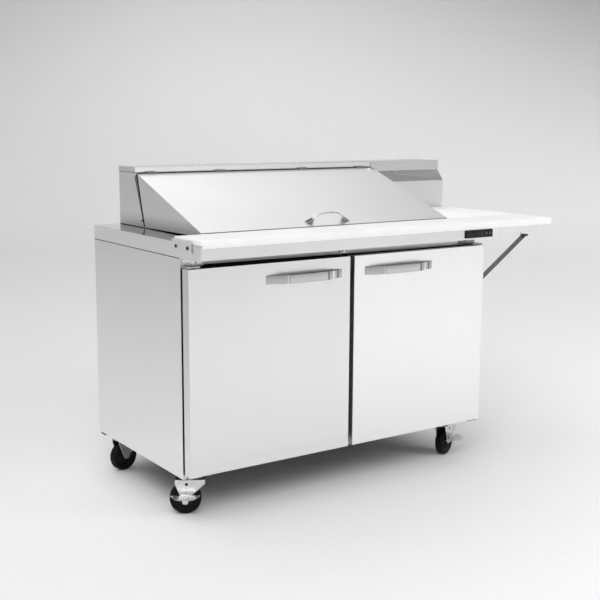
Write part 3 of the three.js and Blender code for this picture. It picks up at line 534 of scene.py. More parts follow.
# Painted shade: the lid's front lip in a dark steel, for the shadow line above the board.
repaint(lid, LIP_SHADE_STEEL, lip)

# Places below are in millimetres from the cabinet's lower left front corner, as at(x, y, z).
HOME = Vector((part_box("left_side_panel")[0].x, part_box("left_door_skin")[0].y, 0))


def at(x, y, z):
    return HOME + Vector((x, y, z)) * MM


def cabinet_mm(node):
    """A CAD node's box in the same millimetres."""
    low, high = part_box(node)
    return [(v - HOME) / MM for v in (low, high)]


def placed(bm):
    """Moves a bmesh drawn in cabinet millimetres into the frame."""
    bm.transform(Matrix.Translation(HOME) @ Matrix.Scale(MM, 4))
    return bm


def blocks(name, spans, material=GASKET, slot="gasket_black", body="cabinet", bevel=0.0):
    """One piece made of plain boxes, (low, high) pairs in cabinet millimetres; black rubber by default."""
    bm = bmesh.new()
    for low, high in spans:
        box(bm, low, high)
    return piece(name, placed(bm), material, body, slot, bevel=bevel)


def face_ring(low, high, inset, y, radius, steps=6):
    """A round-cornered rectangle at depth y, inset from a box's left, right, foot and head."""
    outline = rounded(low.x + inset, high.x - inset, low.z + inset, high.z - inset, radius, steps)
    return [Vector((x, y, z)) for x, z in outline]


# ---- Cutting boards ----
def board(node, body, corners, soft):
    """A poly slab; soft says which of its left, right, front and back edges are rounded over."""
    low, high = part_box(node)
    left, right, front, back = soft
    bm = bmesh.new()
    top, bottom, worn = 3.2 * MM, 0.5 * MM, 3.0 * MM
    turns = [math.radians(a) for a in (0, 22.5, 45, 67.5, 90)]
    levels = [(bottom * (1 - math.sin(t)), low.z + bottom * (1 - math.cos(t))) for t in turns]
    levels += [(top * (1 - math.cos(t)), high.z - worn - top * (1 - math.sin(t))) for t in turns]
    rings = []
    for inset, z in levels:
        outline = rounded(low.x + inset * left, high.x - inset * right, low.y + inset * front,
                          high.y - inset * back, [c * MM for c in corners])
        rings.append([Vector((x, y, z)) for x, y in outline])
    loft(bm, rings)
    return piece(f"{node}_slab", bm, POLY, body, "board_white", (node,), angle=50)


def board_edge():
    """The front board's turned-down edge, a skin over the top of the fascia."""
    low, high = cabinet_mm("front_cutting_board")
    front, foot, head = low.y - 1.3, low.z - 8.3, high.z - 7
    profile = [(low.y - 0.1, foot), (front + 0.6, foot), (front, foot + 0.8), (front, head - 1),
               (low.y - 0.1, head)]
    bm = bmesh.new()
    prism(bm, profile, 0, (low.x + 4, high.x - 3))
    piece("front_cutting_board_edge", placed(bm), POLY, "front_board", "board_white", angle=50)


board_edge()
board("front_cutting_board", "front_board", (6, 12, 0.4, 0.4), (1, 1, 1, 0.05))
board("side_cutting_board", "side_board", (0.4, 0.4, 6, 2), (0.5, 1, 0.05, 1))


# ---- Straps: door handles and the lid's pull ----
def smooth_path(points, steps=6):
    """A Catmull-Rom line through 2-D points."""
    padded = [points[0], *points, points[-1]]
    line = []
    for p0, p1, p2, p3 in zip(padded, padded[1:], padded[2:], padded[3:]):
        for i in range(steps):
            t = i / steps
            line.append(tuple(
                0.5 * (2 * b + (c - a) * t + (2 * a - 5 * b + 4 * c - d) * t * t
                       + (3 * b - a - 3 * c + d) * t ** 3)
                for a, b, c, d in zip(p0, p1, p2, p3)))
    line.append(points[-1])
    return line


def strap(bm, path, to_frame, width, thickness, corner):
    """A flat bar along a 2-D path; to_frame turns (along, out, across) into a point."""
    section = rounded(-thickness, 0, -width / 2, width / 2, corner, 4)
    rings = []
    for i, (s, h) in enumerate(path):
        s0, h0 = path[max(i - 1, 0)]
        s1, h1 = path[min(i + 1, len(path) - 1)]
        size = math.hypot(s1 - s0, h1 - h0)
        ns, nh = -(h1 - h0) / size, (s1 - s0) / size
        rings.append([to_frame(s + ns * a, h + nh * a, b) for a, b in section])
    loft(bm, rings)


def door_handle(side):
    node = f"{side}_door_handle"
    low, high = cabinet_mm(node)
    length, rise, height = high.x - low.x, high.y - low.y, high.z - low.z
    half = [(0, 0.8), (8, 3.0), (66, rise - 3.4), (70, rise - 1.9), (75, rise - 0.9), (84, rise - 0.5)]
    path = smooth_path(half + [(length / 2, rise)] + [(length - s, h) for s, h in half[::-1]])
    middle = (low.z + high.z) / 2
    bm = bmesh.new()
    strap(bm, path, lambda s, h, c: Vector((low.x + s, high.y - h, middle + c)), height, 3.2, 1.2)
    feet = bmesh.new()
    for end in (low.x + 7, high.x - 7):
        lathe(feet, [(5.5, 0), (5.5, 2), (0, 2)], Vector((end, high.y, middle)), -Y, 20)
    piece(f"{node}_feet", placed(feet), HANDLE_STEEL, f"{side}_door", "handle_steel", angle=40)
    bow = piece(f"{node}_bow", placed(bm), HANDLE_STEEL, f"{side}_door", "handle_steel", (node,), angle=40)
    # Painted highlight and shade: a glint band and a shade band near the right end, a thin glint band at the left
    # bend.
    painted_bands = ((GLINT_STEEL, high.x - 42, 4), (SHADE_STEEL, high.x - 22, 4), (GLINT_STEEL, low.x + 67, 1.5))
    for steel, middle_x, reach in painted_bands:
        band = at(middle_x, 0, 0).x
        repaint(bow, steel, lambda centre, normal: normal.y < -0.5 and abs(centre.x - band) < reach * MM)


for side in ("left", "right"):
    door_handle(side)


def largest_facing(node):
    """Outward normal of a CAD node's largest flat facet group."""
    bm = from_node(node)
    bm.faces.ensure_lookup_table()
    normal = max(bm.faces, key=lambda face: face.calc_area()).normal.copy()
    bm.free()
    return normal if normal.z > 0 else -normal


LID_NORMAL = largest_facing("lid_shell")
LID_UP = LID_NORMAL.cross(X).normalized() * (1 if LID_NORMAL.cross(X).y > 0 else -1)


def lid_pull():
    node = "lid_handle"
    left, right = (v / MM for v in span_of(node, X))
    base, crest = (v / MM for v in span_of(node, LID_NORMAL))
    near, far = (v / MM for v in span_of(node, LID_UP))
    length, rise, middle = right - left, crest - base, (near + far) / 2

    def to_frame(s, h, c):
        return (X * (left + s) + LID_NORMAL * (base + h) + LID_UP * (middle + c)) * MM

    half = [(20, 3.0), (26, 13), (38, 24), (58, rise - 2.5)]
    path = smooth_path(half + [(length / 2, rise)] + [(length - s, h) for s, h in half[::-1]])
    bm = bmesh.new()
    strap(bm, path, to_frame, 9, 2.4, 1.0)
    piece("lid_handle_bow", bm, ZINC, "lid", "handle_steel", (node,), angle=40)
    feet = bmesh.new()
    gusset = [(1, 0), (22, 0), (29, 14), (25, 15), (1, 3)]
    for flip in (False, True):
        outline = [(length - s if flip else s, h) for s, h in gusset]
        for c0, c1 in ((-6.6, -5.2), (5.2, 6.6)):
            loft(feet, [[to_frame(s, h, c) for s, h in outline] for c in (c0, c1)])
        plate = [(0, 0), (27, 0), (27, 1.6), (0, 1.6)]
        outline = [(length - s if flip else s, h) for s, h in plate]
        loft(feet, [[to_frame(s, h, c) for s, h in outline] for c in (-8.5, 8.5)])
    # Painted shade: the feet take the dark frame steel, darkening the pull's ends.
    piece("lid_handle_feet", feet, FRAME_SHADE_STEEL, "lid", "plated_steel", bevel=0.5)
    places = [(to_frame(s, 2, 0), LID_NORMAL) for s in (9, length - 9)]
    fasteners("lid_handle_rivets", places, 3.2, body="lid")


lid_pull()


# ---- Hood cap, seams and strips ----
def hood_cap():
    """The folded cap laid over the hood, with a shallow lip on every side."""
    low, high = cabinet_mm("hood_shell")
    cap_front, cheek_front, proud, sheet = 560, 502, 0.9, 0.8
    wing_left, wing_front, turned, wing_turned = 1126, 555, 17, 37
    x0, x1 = low.x - proud, high.x + proud
    top = high.z + proud
    y1 = high.y + proud
    under = high.z - turned
    cap = blocks("hood_cap", [
        ((x0, cap_front - proud, top - sheet), (wing_left, y1, top)),
        ((wing_left, wing_front - proud, top - sheet), (x1, y1, top)),
        ((x0, cap_front - proud, under), (wing_left, cap_front - proud + sheet, top - sheet)),
        ((x0, cap_front - proud + sheet, under), (x0 + sheet, y1, top - sheet)),
        ((x1 - sheet, wing_front - proud + sheet, under), (x1, y1, top - sheet)),
        ((wing_left, wing_front - proud, high.z - wing_turned),
         (x1, wing_front - proud + sheet, top - sheet)),
    ], CAP_STEEL, "hood_steel", bevel=0.35)
    wing = at(wing_left, 0, 0).x
    # Painted light and shade: the cap's faces that look left or right take the cheek steel.
    repaint(cap, CHEEK_LIGHT_STEEL, cheek)
    # Painted shade: front faces right of the wing's left end take darker steels, on the cap and on the hood.
    repaint(cap, WING_SHADE_STEEL, lambda centre, normal: normal.y < -0.9 and centre.x > wing)
    repaint(hood, TOP_STEEL, lambda centre, normal: normal.y < -0.9 and centre.x > wing)
    blocks("hood_cap_seam", [
        ((low.x - 0.5, cap_front, under - 1.6), (low.x + 0.1, high.y - 1, under - 0.1)),
        ((high.x - 0.1, wing_front + 1, under - 1.6), (high.x + 0.5, high.y - 1, under - 0.1)),
        ((low.x - 0.5, cheek_front, low.z + 0.2), (low.x + 0.1, high.y - 1, low.z + 1.8)),
    ])


hood_cap()


def strips():
    """Black thermal strips, partly strip and partly painted shade in the gaps: one over the post between the
    doors, one on top of each door.
    """
    frame_low, _ = cabinet_mm("front_frame")
    left_low, left_high = cabinet_mm("left_door_skin")
    right_low, right_high = cabinet_mm("right_door_skin")
    middle = (left_high.x + right_low.x) / 2
    half = 21
    post = ((middle - half, frame_low.y - 4.2, left_low.z + 18),
            (middle + half, frame_low.y - 0.1, left_high.z - 2))
    blocks("post_thermal_strip_and_shade", [post], bevel=1.0)
    for side, low, high in (("left", left_low, left_high), ("right", right_low, right_high)):
        # Painted shade: the left door's strip reaches further forward than the right's.
        front = low.y + (2.5 if side == "left" else 20)
        x0, x1 = (low.x + 52, high.x - 1.6) if side == "left" else (low.x + 1.6, high.x - 52)
        span = ((x0, front, high.z - 0.4), (x1, 45.6, high.z + 0.9))
        blocks(f"{side}_door_top_strip_and_shade", [span], body=f"{side}_door", bevel=0.4)


strips()


def frame_seals():
    """Dark seals on the front frame in the gap round the doors, partly seal and partly painted shade, and along
    the worktop's skirt.
    """
    frame_low, _ = cabinet_mm("front_frame")
    door_low, door_high = cabinet_mm("left_door_skin")
    _, panel_high = cabinet_mm("right_side_panel")
    top_low, top_high = cabinet_mm("worktop")
    front, back = frame_low.y - 3.7, frame_low.y - 0.2
    bm = bmesh.new()
    for x0, x1 in ((0.8, 15), (panel_high.x - 15, panel_high.x - 0.8)):
        box(bm, (x0, front, door_low.z + 6), (x1, back, door_high.z - 6))
    # Painted shade: the strip over the doors is deeper at the left than at the right.
    left, right = 80, panel_high.x - 80
    foot = door_high.z - 12
    taper = [(left, foot), (right, foot), (right, door_high.z - 2), (left, door_high.z + 6)]
    prism(bm, taper, 1, (front, back))
    piece("frame_seal_and_shade", placed(bm), GASKET, "cabinet", "gasket_black", bevel=0.5)
    blocks("skirt_seam", [
        ((x0, frame_low.y + 1, top_low.z - 1.4), (x1, top_high.y - 2, top_low.z + 0.8))
        for x0, x1 in ((-0.4, 0.4), (panel_high.x - 0.4, panel_high.x + 0.4))])
    low, high = cabinet_mm("base_pan")
    bracket = ((low.x + 2, high.y - 34, high.z - 13), (low.x + 30, high.y - 1, high.z - 4.2))
    blocks("rear_corner_bracket", [bracket], BLACK_PAINT, "black_paint", bevel=0.6)


frame_seals()


def lid_seal_and_gap_shade():
    """Black foam on the hood's slanted bulkhead, and a tapered black sliver beside the lid that paints the shadow
    in the gap there.
    """
    low, high = cabinet_mm("lid_shell")
    foot, head = Vector((498, 879.3)), Vector((560, 1065))

    def strip(z_span, outs):
        slope = (head.x - foot.x) / (head.y - foot.y)
        corners = ((z_span[0], outs[0]), (z_span[1], outs[0]), (z_span[1], outs[1]), (z_span[0], outs[1]))
        return [(foot.x + (z - foot.y) * slope - out, z) for z, out in corners]

    bm = bmesh.new()
    low_z, high_z, gap_foot, gap_head = 886, 1056, 884, 1052
    prism(bm, strip((low_z, high_z), (1.9, 0.2)), 0, (low.x + 1, high.x - 1))
    for x0, x1 in ((low.x + 2.6, low.x + 4.4), (high.x - 4.4, high.x - 2.6)):
        prism(bm, strip((low_z, high_z - 10), (12, 1.5)), 0, (x0, x1))
    # Painted shadow: a black sliver at the lid's left edge, wider at the top.
    taper = [(foot.x + 0.4, gap_foot), (head.x - 1.6, gap_head), (head.x + 5.4, gap_head),
             (foot.x + 1.2, gap_foot)]
    prism(bm, taper, 0, (low.x - 0.8, low.x + 0.2))
    piece("lid_seal_and_gap_shade", placed(bm), GASKET, "cabinet", "gasket_black")


lid_seal_and_gap_shade()


# ---- Door gaskets ----
def gasket(side):
    """A mitred ring with a magnet bead, a bellows and a retaining foot."""
    node = f"{side}_door_gasket"
    low, high = cabinet_mm(node)
    depth = high.y - low.y
    section = [(0.4, 0), (13.4, 0), (14, 0.25), (12.6, 0.45), (13.6, 0.65), (12.4, 0.85), (11.5, 1.0),
               (2.5, 1.0), (1.6, 0.85), (0.4, 0.65), (1.4, 0.45), (0, 0.25)]
    bm = bmesh.new()
    loft(bm, [face_ring(low, high, inset, low.y + share * depth, 2.5, 3) for inset, share in section],
         looped=True)
    piece(f"{node}_ring", placed(bm), GASKET, f"{side}_door", "gasket_black", (node,), angle=50)


for side in ("left", "right"):
    gasket(side)


# ---- Thermostat ----
def thermostat():
    low, high = cabinet_mm("control_panel")
    front = low.y
    bm = bmesh.new()
    levels = [(0.6, high.y), (0, high.y - 0.6), (0, front + 0.9), (0.35, front + 0.25), (0.9, front)]
    levels += [(2.4, front), (2.8, front + 0.55)]
    loft(bm, [face_ring(low, high, inset, y, 3.0 - inset * 0.4) for inset, y in levels])
    piece("control_panel_bezel", placed(bm), BLACK_PLASTIC, "cabinet", "black_plastic", ("control_panel",),
          angle=40)
    lens = bmesh.new()
    rim = 4.5
    x0, x1 = low.x + rim, low.x + 88
    rings = [[Vector((x, y, z)) for x, z in rounded(x0 + i, x1 - i, low.z + rim + i, high.z - rim - i, 2)]
             for i, y in ((0, front + 0.5), (0, front + 0.25), (0.4, front + 0.1))]
    loft(lens, rings)
    piece("control_panel_lens", placed(lens), LENS, "cabinet", "black_plastic")
    for number in (1, 2):
        node = f"control_key_{number}"
        low, high = cabinet_mm(node)
        bm = bmesh.new()
        levels = ((0.2, high.y), (0, low.y + 0.7), (0.25, low.y + 0.2), (0.8, low.y))
        loft(bm, [face_ring(low, high, inset, y, 2) for inset, y in levels])
        piece(f"{node}_cap", placed(bm), BLACK_PLASTIC, f"key_{number}", "key_grey", (node,), angle=40)
        mark, proud = bmesh.new(), 0.35
        cx, cz = (low.x + high.x) / 2, (low.z + high.z) / 2
        ring = [(4.0, 0), (4.0, proud), (2.4, proud), (2.4, 0)]
        lathe(mark, ring, Vector((cx, low.y, cz)), -Y, 24, looped=True)
        if number == 2:
            box(mark, (cx - 0.5, low.y - proud, cz + 0.8), (cx + 0.5, low.y, cz + 4.6))
        else:
            box(mark, (cx - 4.3, low.y - proud, cz - 0.5), (cx + 4.3, low.y, cz + 0.5))
        piece(f"{node}_mark", placed(mark), KEY_GREY, f"key_{number}", "key_grey")


thermostat()


# ---- Casters ----
def caster_frame(corner):
    """Matrix to the frame from a caster's own millimetres: swivel axis at the origin, wheel axle along Y."""
    across_axis = Vector(JOINTS[f"{corner}_roll"]["axis"]).normalized()
    swivel = JOINTS[f"{corner}_swivel"]["pos_m"]
    forward = across_axis.cross(Z)
    turn = Matrix((forward, across_axis, Z)).transposed().to_4x4()
    return Matrix.Translation((swivel[0], swivel[1], 0)) @ turn @ Matrix.Scale(MM, 4)


TRAIL, AXLE_Z = 35.0, 51.0
FORK_TOP, FORK_HALF, FORK_GAUGE = 115.4, 18.5, 2.5


def tyre_and_hub(corner, place):
    body = f"{corner}_wheel"
    axle = Vector((-TRAIL, 0, AXLE_Z))
    crown = [(35, -12.5), (40, -14.5), (45, -15.6), (48.6, -13.6), (50.4, -10.4)]
    groove = [(50.9, -6.4), (49.9, -5.8), (49.9, -5.2), (51, -4.6)]
    tread = crown + groove
    profile = tread + [(r, -h) for r, h in tread[::-1]]
    profile += [(34.4, 12.5), (34.4, -12.5)]
    bm = bmesh.new()
    lathe(bm, profile, axle, Y, 72, looped=True)
    bm.transform(place)
    piece(f"{corner}_tyre", bm, TYRE, body, "caster_tyre", (f"{corner}_caster_wheel",), angle=32)
    bm = bmesh.new()
    half = [(6.2, -15.8), (12, -15.8), (13.5, -14.5), (14.5, -9), (28, -7), (31, -10.5), (34.2, -12.2)]
    lathe(bm, half + [(r, -h) for r, h in half[::-1]], axle, Y, 48, looped=True)
    for i in range(8):
        turn = Matrix.Translation(axle) @ Matrix.Rotation(i * math.pi / 4, 4, "Y")
        rib = bmesh.new()
        box(rib, (13, -12.5, -1.2), (31, 12.5, 1.2))
        rib.transform(turn)
        mesh = bpy.data.meshes.new("rib")
        rib.to_mesh(mesh)
        rib.free()
        bm.from_mesh(mesh)
        bpy.data.meshes.remove(mesh)
    bm.transform(place)
    piece(f"{corner}_hub", bm, BLACK_PLASTIC, body, "caster_tyre", angle=32)


def fork(corner, place):
    body, node = f"{corner}_fork", f"{corner}_caster_fork"
    bm = bmesh.new()
    top_left, top_right, shoulder = -68, 28, 103
    outside = FORK_HALF + FORK_GAUGE
    leg = [(top_left, FORK_TOP - 1), (top_right, FORK_TOP - 1), (top_right, shoulder), (-19, 59), (-25, 47),
           (-31, 43.5), (-39, 43.5), (-45, 47), (-51, 59), (top_left, shoulder)]
    for inner in (-outside, FORK_HALF):
        prism(bm, leg, 1, (inner, inner + FORK_GAUGE))
    prism(bm, rounded(top_left, top_right, -outside, outside, 5), 2, (FORK_TOP - FORK_GAUGE, FORK_TOP))
    bm.transform(place)
    piece(f"{corner}_fork_legs", bm, FORK_ZINC, body, "caster_zinc", (node,), bevel=0.9)
    bm = bmesh.new()
    rim = 1.2
    for side in (-1, 1):
        y = side * outside
        for x0, x1 in ((top_left + rim, -50), (top_right - rim, -20)):
            tube(bm, [(x0, y, shoulder - 1), (x1, y, 60)], rim, 8)
    axle = [(6.4, -22.6), (6.4, -21.2), (5.2, -21.2), (5.2, 21.2), (6.4, 21.2), (6.4, 22.6), (3, 23.4),
            (0, 23.4)]
    lathe(bm, axle, Vector((-TRAIL, 0, AXLE_Z)), Y, 6)
    rivet = [(3.6, 0), (3.6, 0.8), (2.2, 1.8), (0, 2)]
    for side in (-1, 1):
        lathe(bm, rivet, Vector((-8, side * outside, 106)), Y * side, 20)
    bm.transform(place)
    piece(f"{corner}_fork_trim", bm, FORK_ZINC, body, "caster_zinc", angle=40)
    bm = bmesh.new()
    for side in (-1, 1):
        lathe(bm, [(5.0, -0.2), (5.0, 0.25), (4.2, 0.1), (0, 0.1)], Vector((-31, side * outside, 101)),
              Y * side, 20)
    bm.transform(place)
    piece(f"{corner}_fork_hole", bm, BLACK_PAINT, body, "caster_zinc", angle=40)


def pedal(corner, place):
    """Pressed toe pedal: a long boat-shaped tread with an upturned rim and a toe tab."""
    node, body = f"{corner}_brake_pedal", f"{corner}_pedal"
    half, inner, reach, level = 47.0, -28.5, 43.0, 66.0
    bm = bmesh.new()
    rings = []
    steps = 20
    for i in range(steps + 1):
        t = -1 + 2 * i / steps
        width = max(reach * (1 - abs(t) ** 4), 2.0)
        drop = 3.0 * (1 - t * t)
        x = -TRAIL + half * t
        curve = [(0, 1.2), (0.25, 0.2), (0.6, -0.5), (0.88, 0.1), (1, 1.4)]
        over = [(x, inner - share * width, level - drop * 0.4 + lift) for share, lift in curve]
        under = [(x, inner - share * width, level - drop * 0.4 + lift - 1.2) for share, lift in curve[::-1]]
        rings.append([Vector(p) for p in over + under])
    loft(bm, rings)
    tab = [(-12, 0), (12, 0), (9, -18), (6, -23), (-6, -23), (-9, -18)]
    loft(bm, [[Vector((-TRAIL + u, inner - y, level - 1 + v)) for u, v in tab] for y in (11, 13.4)])
    lathe(bm, [(3.4, -14), (3.4, 14)], Vector((-TRAIL, -25.5, level)), X, 16)
    box(bm, (-TRAIL - 12, -30, level - 1.2), (-TRAIL + 12, -24.5, level + 1.2))
    bm.transform(place)
    piece(f"{node}_tread", bm, FORK_ZINC, body, "caster_zinc", (node,), angle=40)


def top_plate(corner):
    """Bolts that hold the plate above a caster."""
    swivel = JOINTS[f"{corner}_swivel"]["pos_m"]
    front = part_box("base_pan")[0].y + 7 * MM
    plate_z, places = 124 * MM, []
    for dx, dy in ((-38, -27), (38, -27), (-38, 27), (38, 27)):
        places.append((Vector((swivel[0] + dx * MM, max(swivel[1] + dy * MM, front), plate_z)), -Z))
    fasteners(f"{corner}_plate_bolts", places, 4.5, hex_bolt)


for corner in ("front_left", "front_right", "rear_left", "rear_right"):
    place = caster_frame(corner)
    tyre_and_hub(corner, place)
    fork(corner, place)
    top_plate(corner)
    if corner.startswith("front"):
        pedal(corner, place)


# ---- Inside: pans, shelves, evaporator ----
def food_pan(number):
    node = f"food_pan_{number}"
    low, high = cabinet_mm(node)
    profile = [(30, low.z + 1.5, 30), (22, low.z + 1.6, 24), (17.5, low.z + 6, 20), (10.5, high.z - 12, 20),
               (9.0, high.z - 1.5, 20), (7.6, high.z, 19), (1.5, high.z, 10), (0, high.z - 0.8, 9),
               (0.4, high.z - 1.6, 9), (7.2, high.z - 1.6, 18), (9.2, high.z - 12, 20), (16.4, low.z + 6, 20),
               (21, low.z, 24), (30, low.z, 30)]
    bm = bmesh.new()
    rings = [[Vector((x, y, z)) for x, y in rounded(low.x + i, high.x - i, low.y + i, high.y - i, r, 5)]
             for i, z, r in profile]
    loft(bm, rings)
    piece(f"{node}_tub", placed(bm), PAN_STEEL, "cabinet", "pan_steel", (node,), angle=50)


for number in range(1, 7):
    food_pan(number)


def wire_shelf(side):
    node = f"{side}_wire_shelf"
    low, high = cabinet_mm(node)
    bm = bmesh.new()
    wires, radius = 17, 2.2
    for i in range(wires):
        x = low.x + radius + (high.x - low.x - 2 * radius) * i / (wires - 1)
        top = high.z - radius
        line = [(x, low.y + 2, top - 12), (x, low.y + 2.5, top - 3), (x, low.y + 6, top),
                (x, high.y - radius, top)]
        tube(bm, line, radius, 8)
    for y in (low.y + 2, low.y + 96, (low.y + high.y) / 2 + 20, high.y - 6):
        z = high.z - 12 if y < low.y + 5 else high.z - 2.6 * radius
        tube(bm, [(low.x, y, z), (high.x, y, z)], radius * 1.25, 10)
    piece(f"{node}_grid", placed(bm), WHITE_PLASTIC, "cabinet", "white_plastic", (node,), angle=60)


for side in ("left", "right"):
    wire_shelf(side)


def fan_rotor(node):
    """Four swept blades with twist on a domed hub."""
    low, high = cabinet_mm(node)
    centre = (low + high) / 2
    tip, depth = (high.x - low.x) / 2, high.y - low.y
    hub = tip * 0.28
    bm = bmesh.new()
    dome = [(hub, depth * 0.42), (hub, -depth * 0.3), (hub * 0.8, -depth * 0.44), (0, -depth * 0.48)]
    lathe(bm, dome, centre, Y, 32)
    section = ((-1, 0), (-0.5, 0.9), (0, 1.2), (0.5, 0.9), (1, 0), (0.5, -0.5), (0, -0.6), (-0.5, -0.5))
    for blade in range(4):
        rings = []
        for i in range(7):
            share = i / 6
            radius = hub * 0.9 + (tip * 0.98 - hub * 0.9) * share
            sweep = blade * math.pi / 2 + 0.35 * share
            pitch = 0.85 - 0.4 * share
            chord = min(tip * (0.34 + 0.16 * share), depth * 0.46 / math.sin(pitch))
            ring = []
            for along, thick in section:
                angle = sweep + along * chord * math.cos(pitch) / radius
                lift = along * chord * math.sin(pitch) + thick
                ring.append(centre + Vector((radius * math.cos(angle), lift, radius * math.sin(angle))))
            rings.append(ring)
        loft(bm, rings)
    piece(f"{node}_rotor", placed(bm), BLACK_PLASTIC, BODY_OF[node], "black_plastic", (node,), angle=40)
    return centre, tip


def fan_guard(name, centre, tip, front):
    """Wire rings and spokes in front of a fan."""
    bm = bmesh.new()
    wire = 1.3
    for radius in (tip * 0.3, tip * 0.55, tip * 0.8, tip + 6):
        ring = circle(Vector((centre.x, front, centre.z)), Y, radius, 48)
        tube(bm, ring, wire, 8, closed=True)
    for i in range(6):
        t = math.pi * i / 3 + 0.3
        spoke = [Vector((centre.x + r * math.cos(t), front - 2 * wire, centre.z + r * math.sin(t)))
                 for r in (tip * 0.26, tip + 9)]
        tube(bm, spoke, wire, 8)
    piece(name, placed(bm), PLATED, "cabinet", "plated_steel", angle=60)


centre, tip = fan_rotor("evaporator_fan")
fan_guard("evaporator_fan_guard", centre, tip, cabinet_mm("evaporator_housing")[0].y - 2)
fan_rotor("condenser_fan")


def machine_bay():
    low, high = cabinet_mm("compressor")
    centre = (low + high) / 2
    foot = Vector((centre.x, centre.y, low.z))
    height = high.z - low.z
    bm = bmesh.new()
    dome = [(0, 0.07), (50, 0.07), (57, 0.12), (58, 0.2), (58, 0.46), (59.5, 0.47), (59.5, 0.5), (58, 0.51),
            (57.5, 0.78), (52, 0.88), (40, 0.95), (20, 0.995), (0, 1.0)]
    lathe(bm, [(r, share * height) for r, share in dome], foot, Z, 48)
    prism(bm, rounded(low.x, high.x, low.y, high.y, 14), 2, (low.z, low.z + 3))
    for dx in (-62, 62):
        for dy in (-36, 36):
            lathe(bm, [(10, 3), (8, 6), (10, 10), (0, 11)], foot + Vector((dx, dy, 0)), Z, 20)
    piece("compressor_shell", placed(bm), BLACK_PAINT, "cabinet", "black_paint", ("compressor",), angle=40)
    coil_low, coil_high = cabinet_mm("condenser_coil")
    bm = bmesh.new()
    rows, pipe = 6, 4
    y0, y1 = coil_low.y + 12, coil_high.y - 12
    for i in range(rows):
        z = coil_low.z + 24 + (coil_high.z - coil_low.z - 48) * i / (rows - 1)
        for x, out in ((coil_low.x, -1), (coil_high.x, 1)):
            bend = [(x, y0, z)]
            for k in range(9):
                t = math.pi * k / 8
                bend.append((x + out * (3 + 9 * math.sin(t)), (y0 + y1) / 2 - (y1 - y0) / 2 * math.cos(t), z))
            bend.append((x, y1, z))
            tube(bm, bend, pipe, 10)
    start = Vector((centre.x + 30, centre.y, high.z - 14))
    line = [start + Vector(step) for step in ((0, 0, 0), (0, 0, 26), (18, 0, 42), (120, 10, 46))]
    line += [Vector((coil_low.x + dx, y0, coil_high.z - dz)) for dx, dz in ((-22, 6), (-10, 24), (1, 25))]
    tube(bm, line, pipe, 10)
    piece("refrigerant_lines", placed(bm), COPPER, "cabinet", "coil_copper", angle=50)


machine_bay()


dress("lid_hinge_rod", SCREW_DARK, "plated_steel", 0.3)


# ---- Back: louvres, inlet ----
def louvres():
    low, high = cabinet_mm("rear_grille")
    rim, columns, rows, web, bridge, sheet = 22, 2, 12, 14, 10, 0.8
    face = high.y
    x0, x1, z0, z1 = low.x + rim, high.x - rim, low.z + rim, high.z - rim
    pitch_x, pitch_z = (x1 - x0) / columns, (z1 - z0) / rows
    bm = bmesh.new()
    for column in range(columns):
        for row in range(rows):
            left, right = x0 + pitch_x * column + web - 2, x0 + pitch_x * (column + 1) - web + 2
            bottom, top = z0 + pitch_z * row + bridge - 1, z0 + pitch_z * (row + 1) - bridge + 2
            hood = [(face - 0.2, top), (face + 1, top), (face + 7.5, bottom + 1), (face + 7.5, bottom),
                    (face + 6.7, bottom), (face + 0.4, top - 2)]
            prism(bm, hood, 0, (left, right))
            side = [(face - 0.2, top), (face + 7, bottom + 0.6), (face - 0.2, bottom + 0.6)]
            for end in (left, right - sheet):
                prism(bm, side, 0, (end, end + sheet))
    piece("rear_louvres", placed(bm), GRILLE_STEEL, "cabinet", "galvanised", bevel=0.3)


louvres()


def inlet():
    low, high = cabinet_mm("cord_inlet")
    centre = (low + high) / 2
    foot = Vector((centre.x, low.y, centre.z))
    depth = high.y - low.y
    outer = [(9.4, 0), (9.4, 0.55), (12.4, 0.56), (12.5, 0.7), (11.6, 0.76), (12.5, 0.82), (11.6, 0.88),
             (12.3, 0.94), (11.5, 1.0), (7.6, 1.0), (7.0, 0.95), (7.0, 0)]
    bm = bmesh.new()
    lathe(bm, [(r, share * depth) for r, share in outer], foot, Y, 40, looped=True)
    piece("cord_inlet_collar", placed(bm), BLACK_PLASTIC, "cabinet", "black_plastic", ("cord_inlet",),
          angle=40)


inlet()


# ---- Screws and bolts ----
BRACE_ENDS = ((1232, 637), (1439, 819))                # (x, z) of the bolts at a brace's foot and head


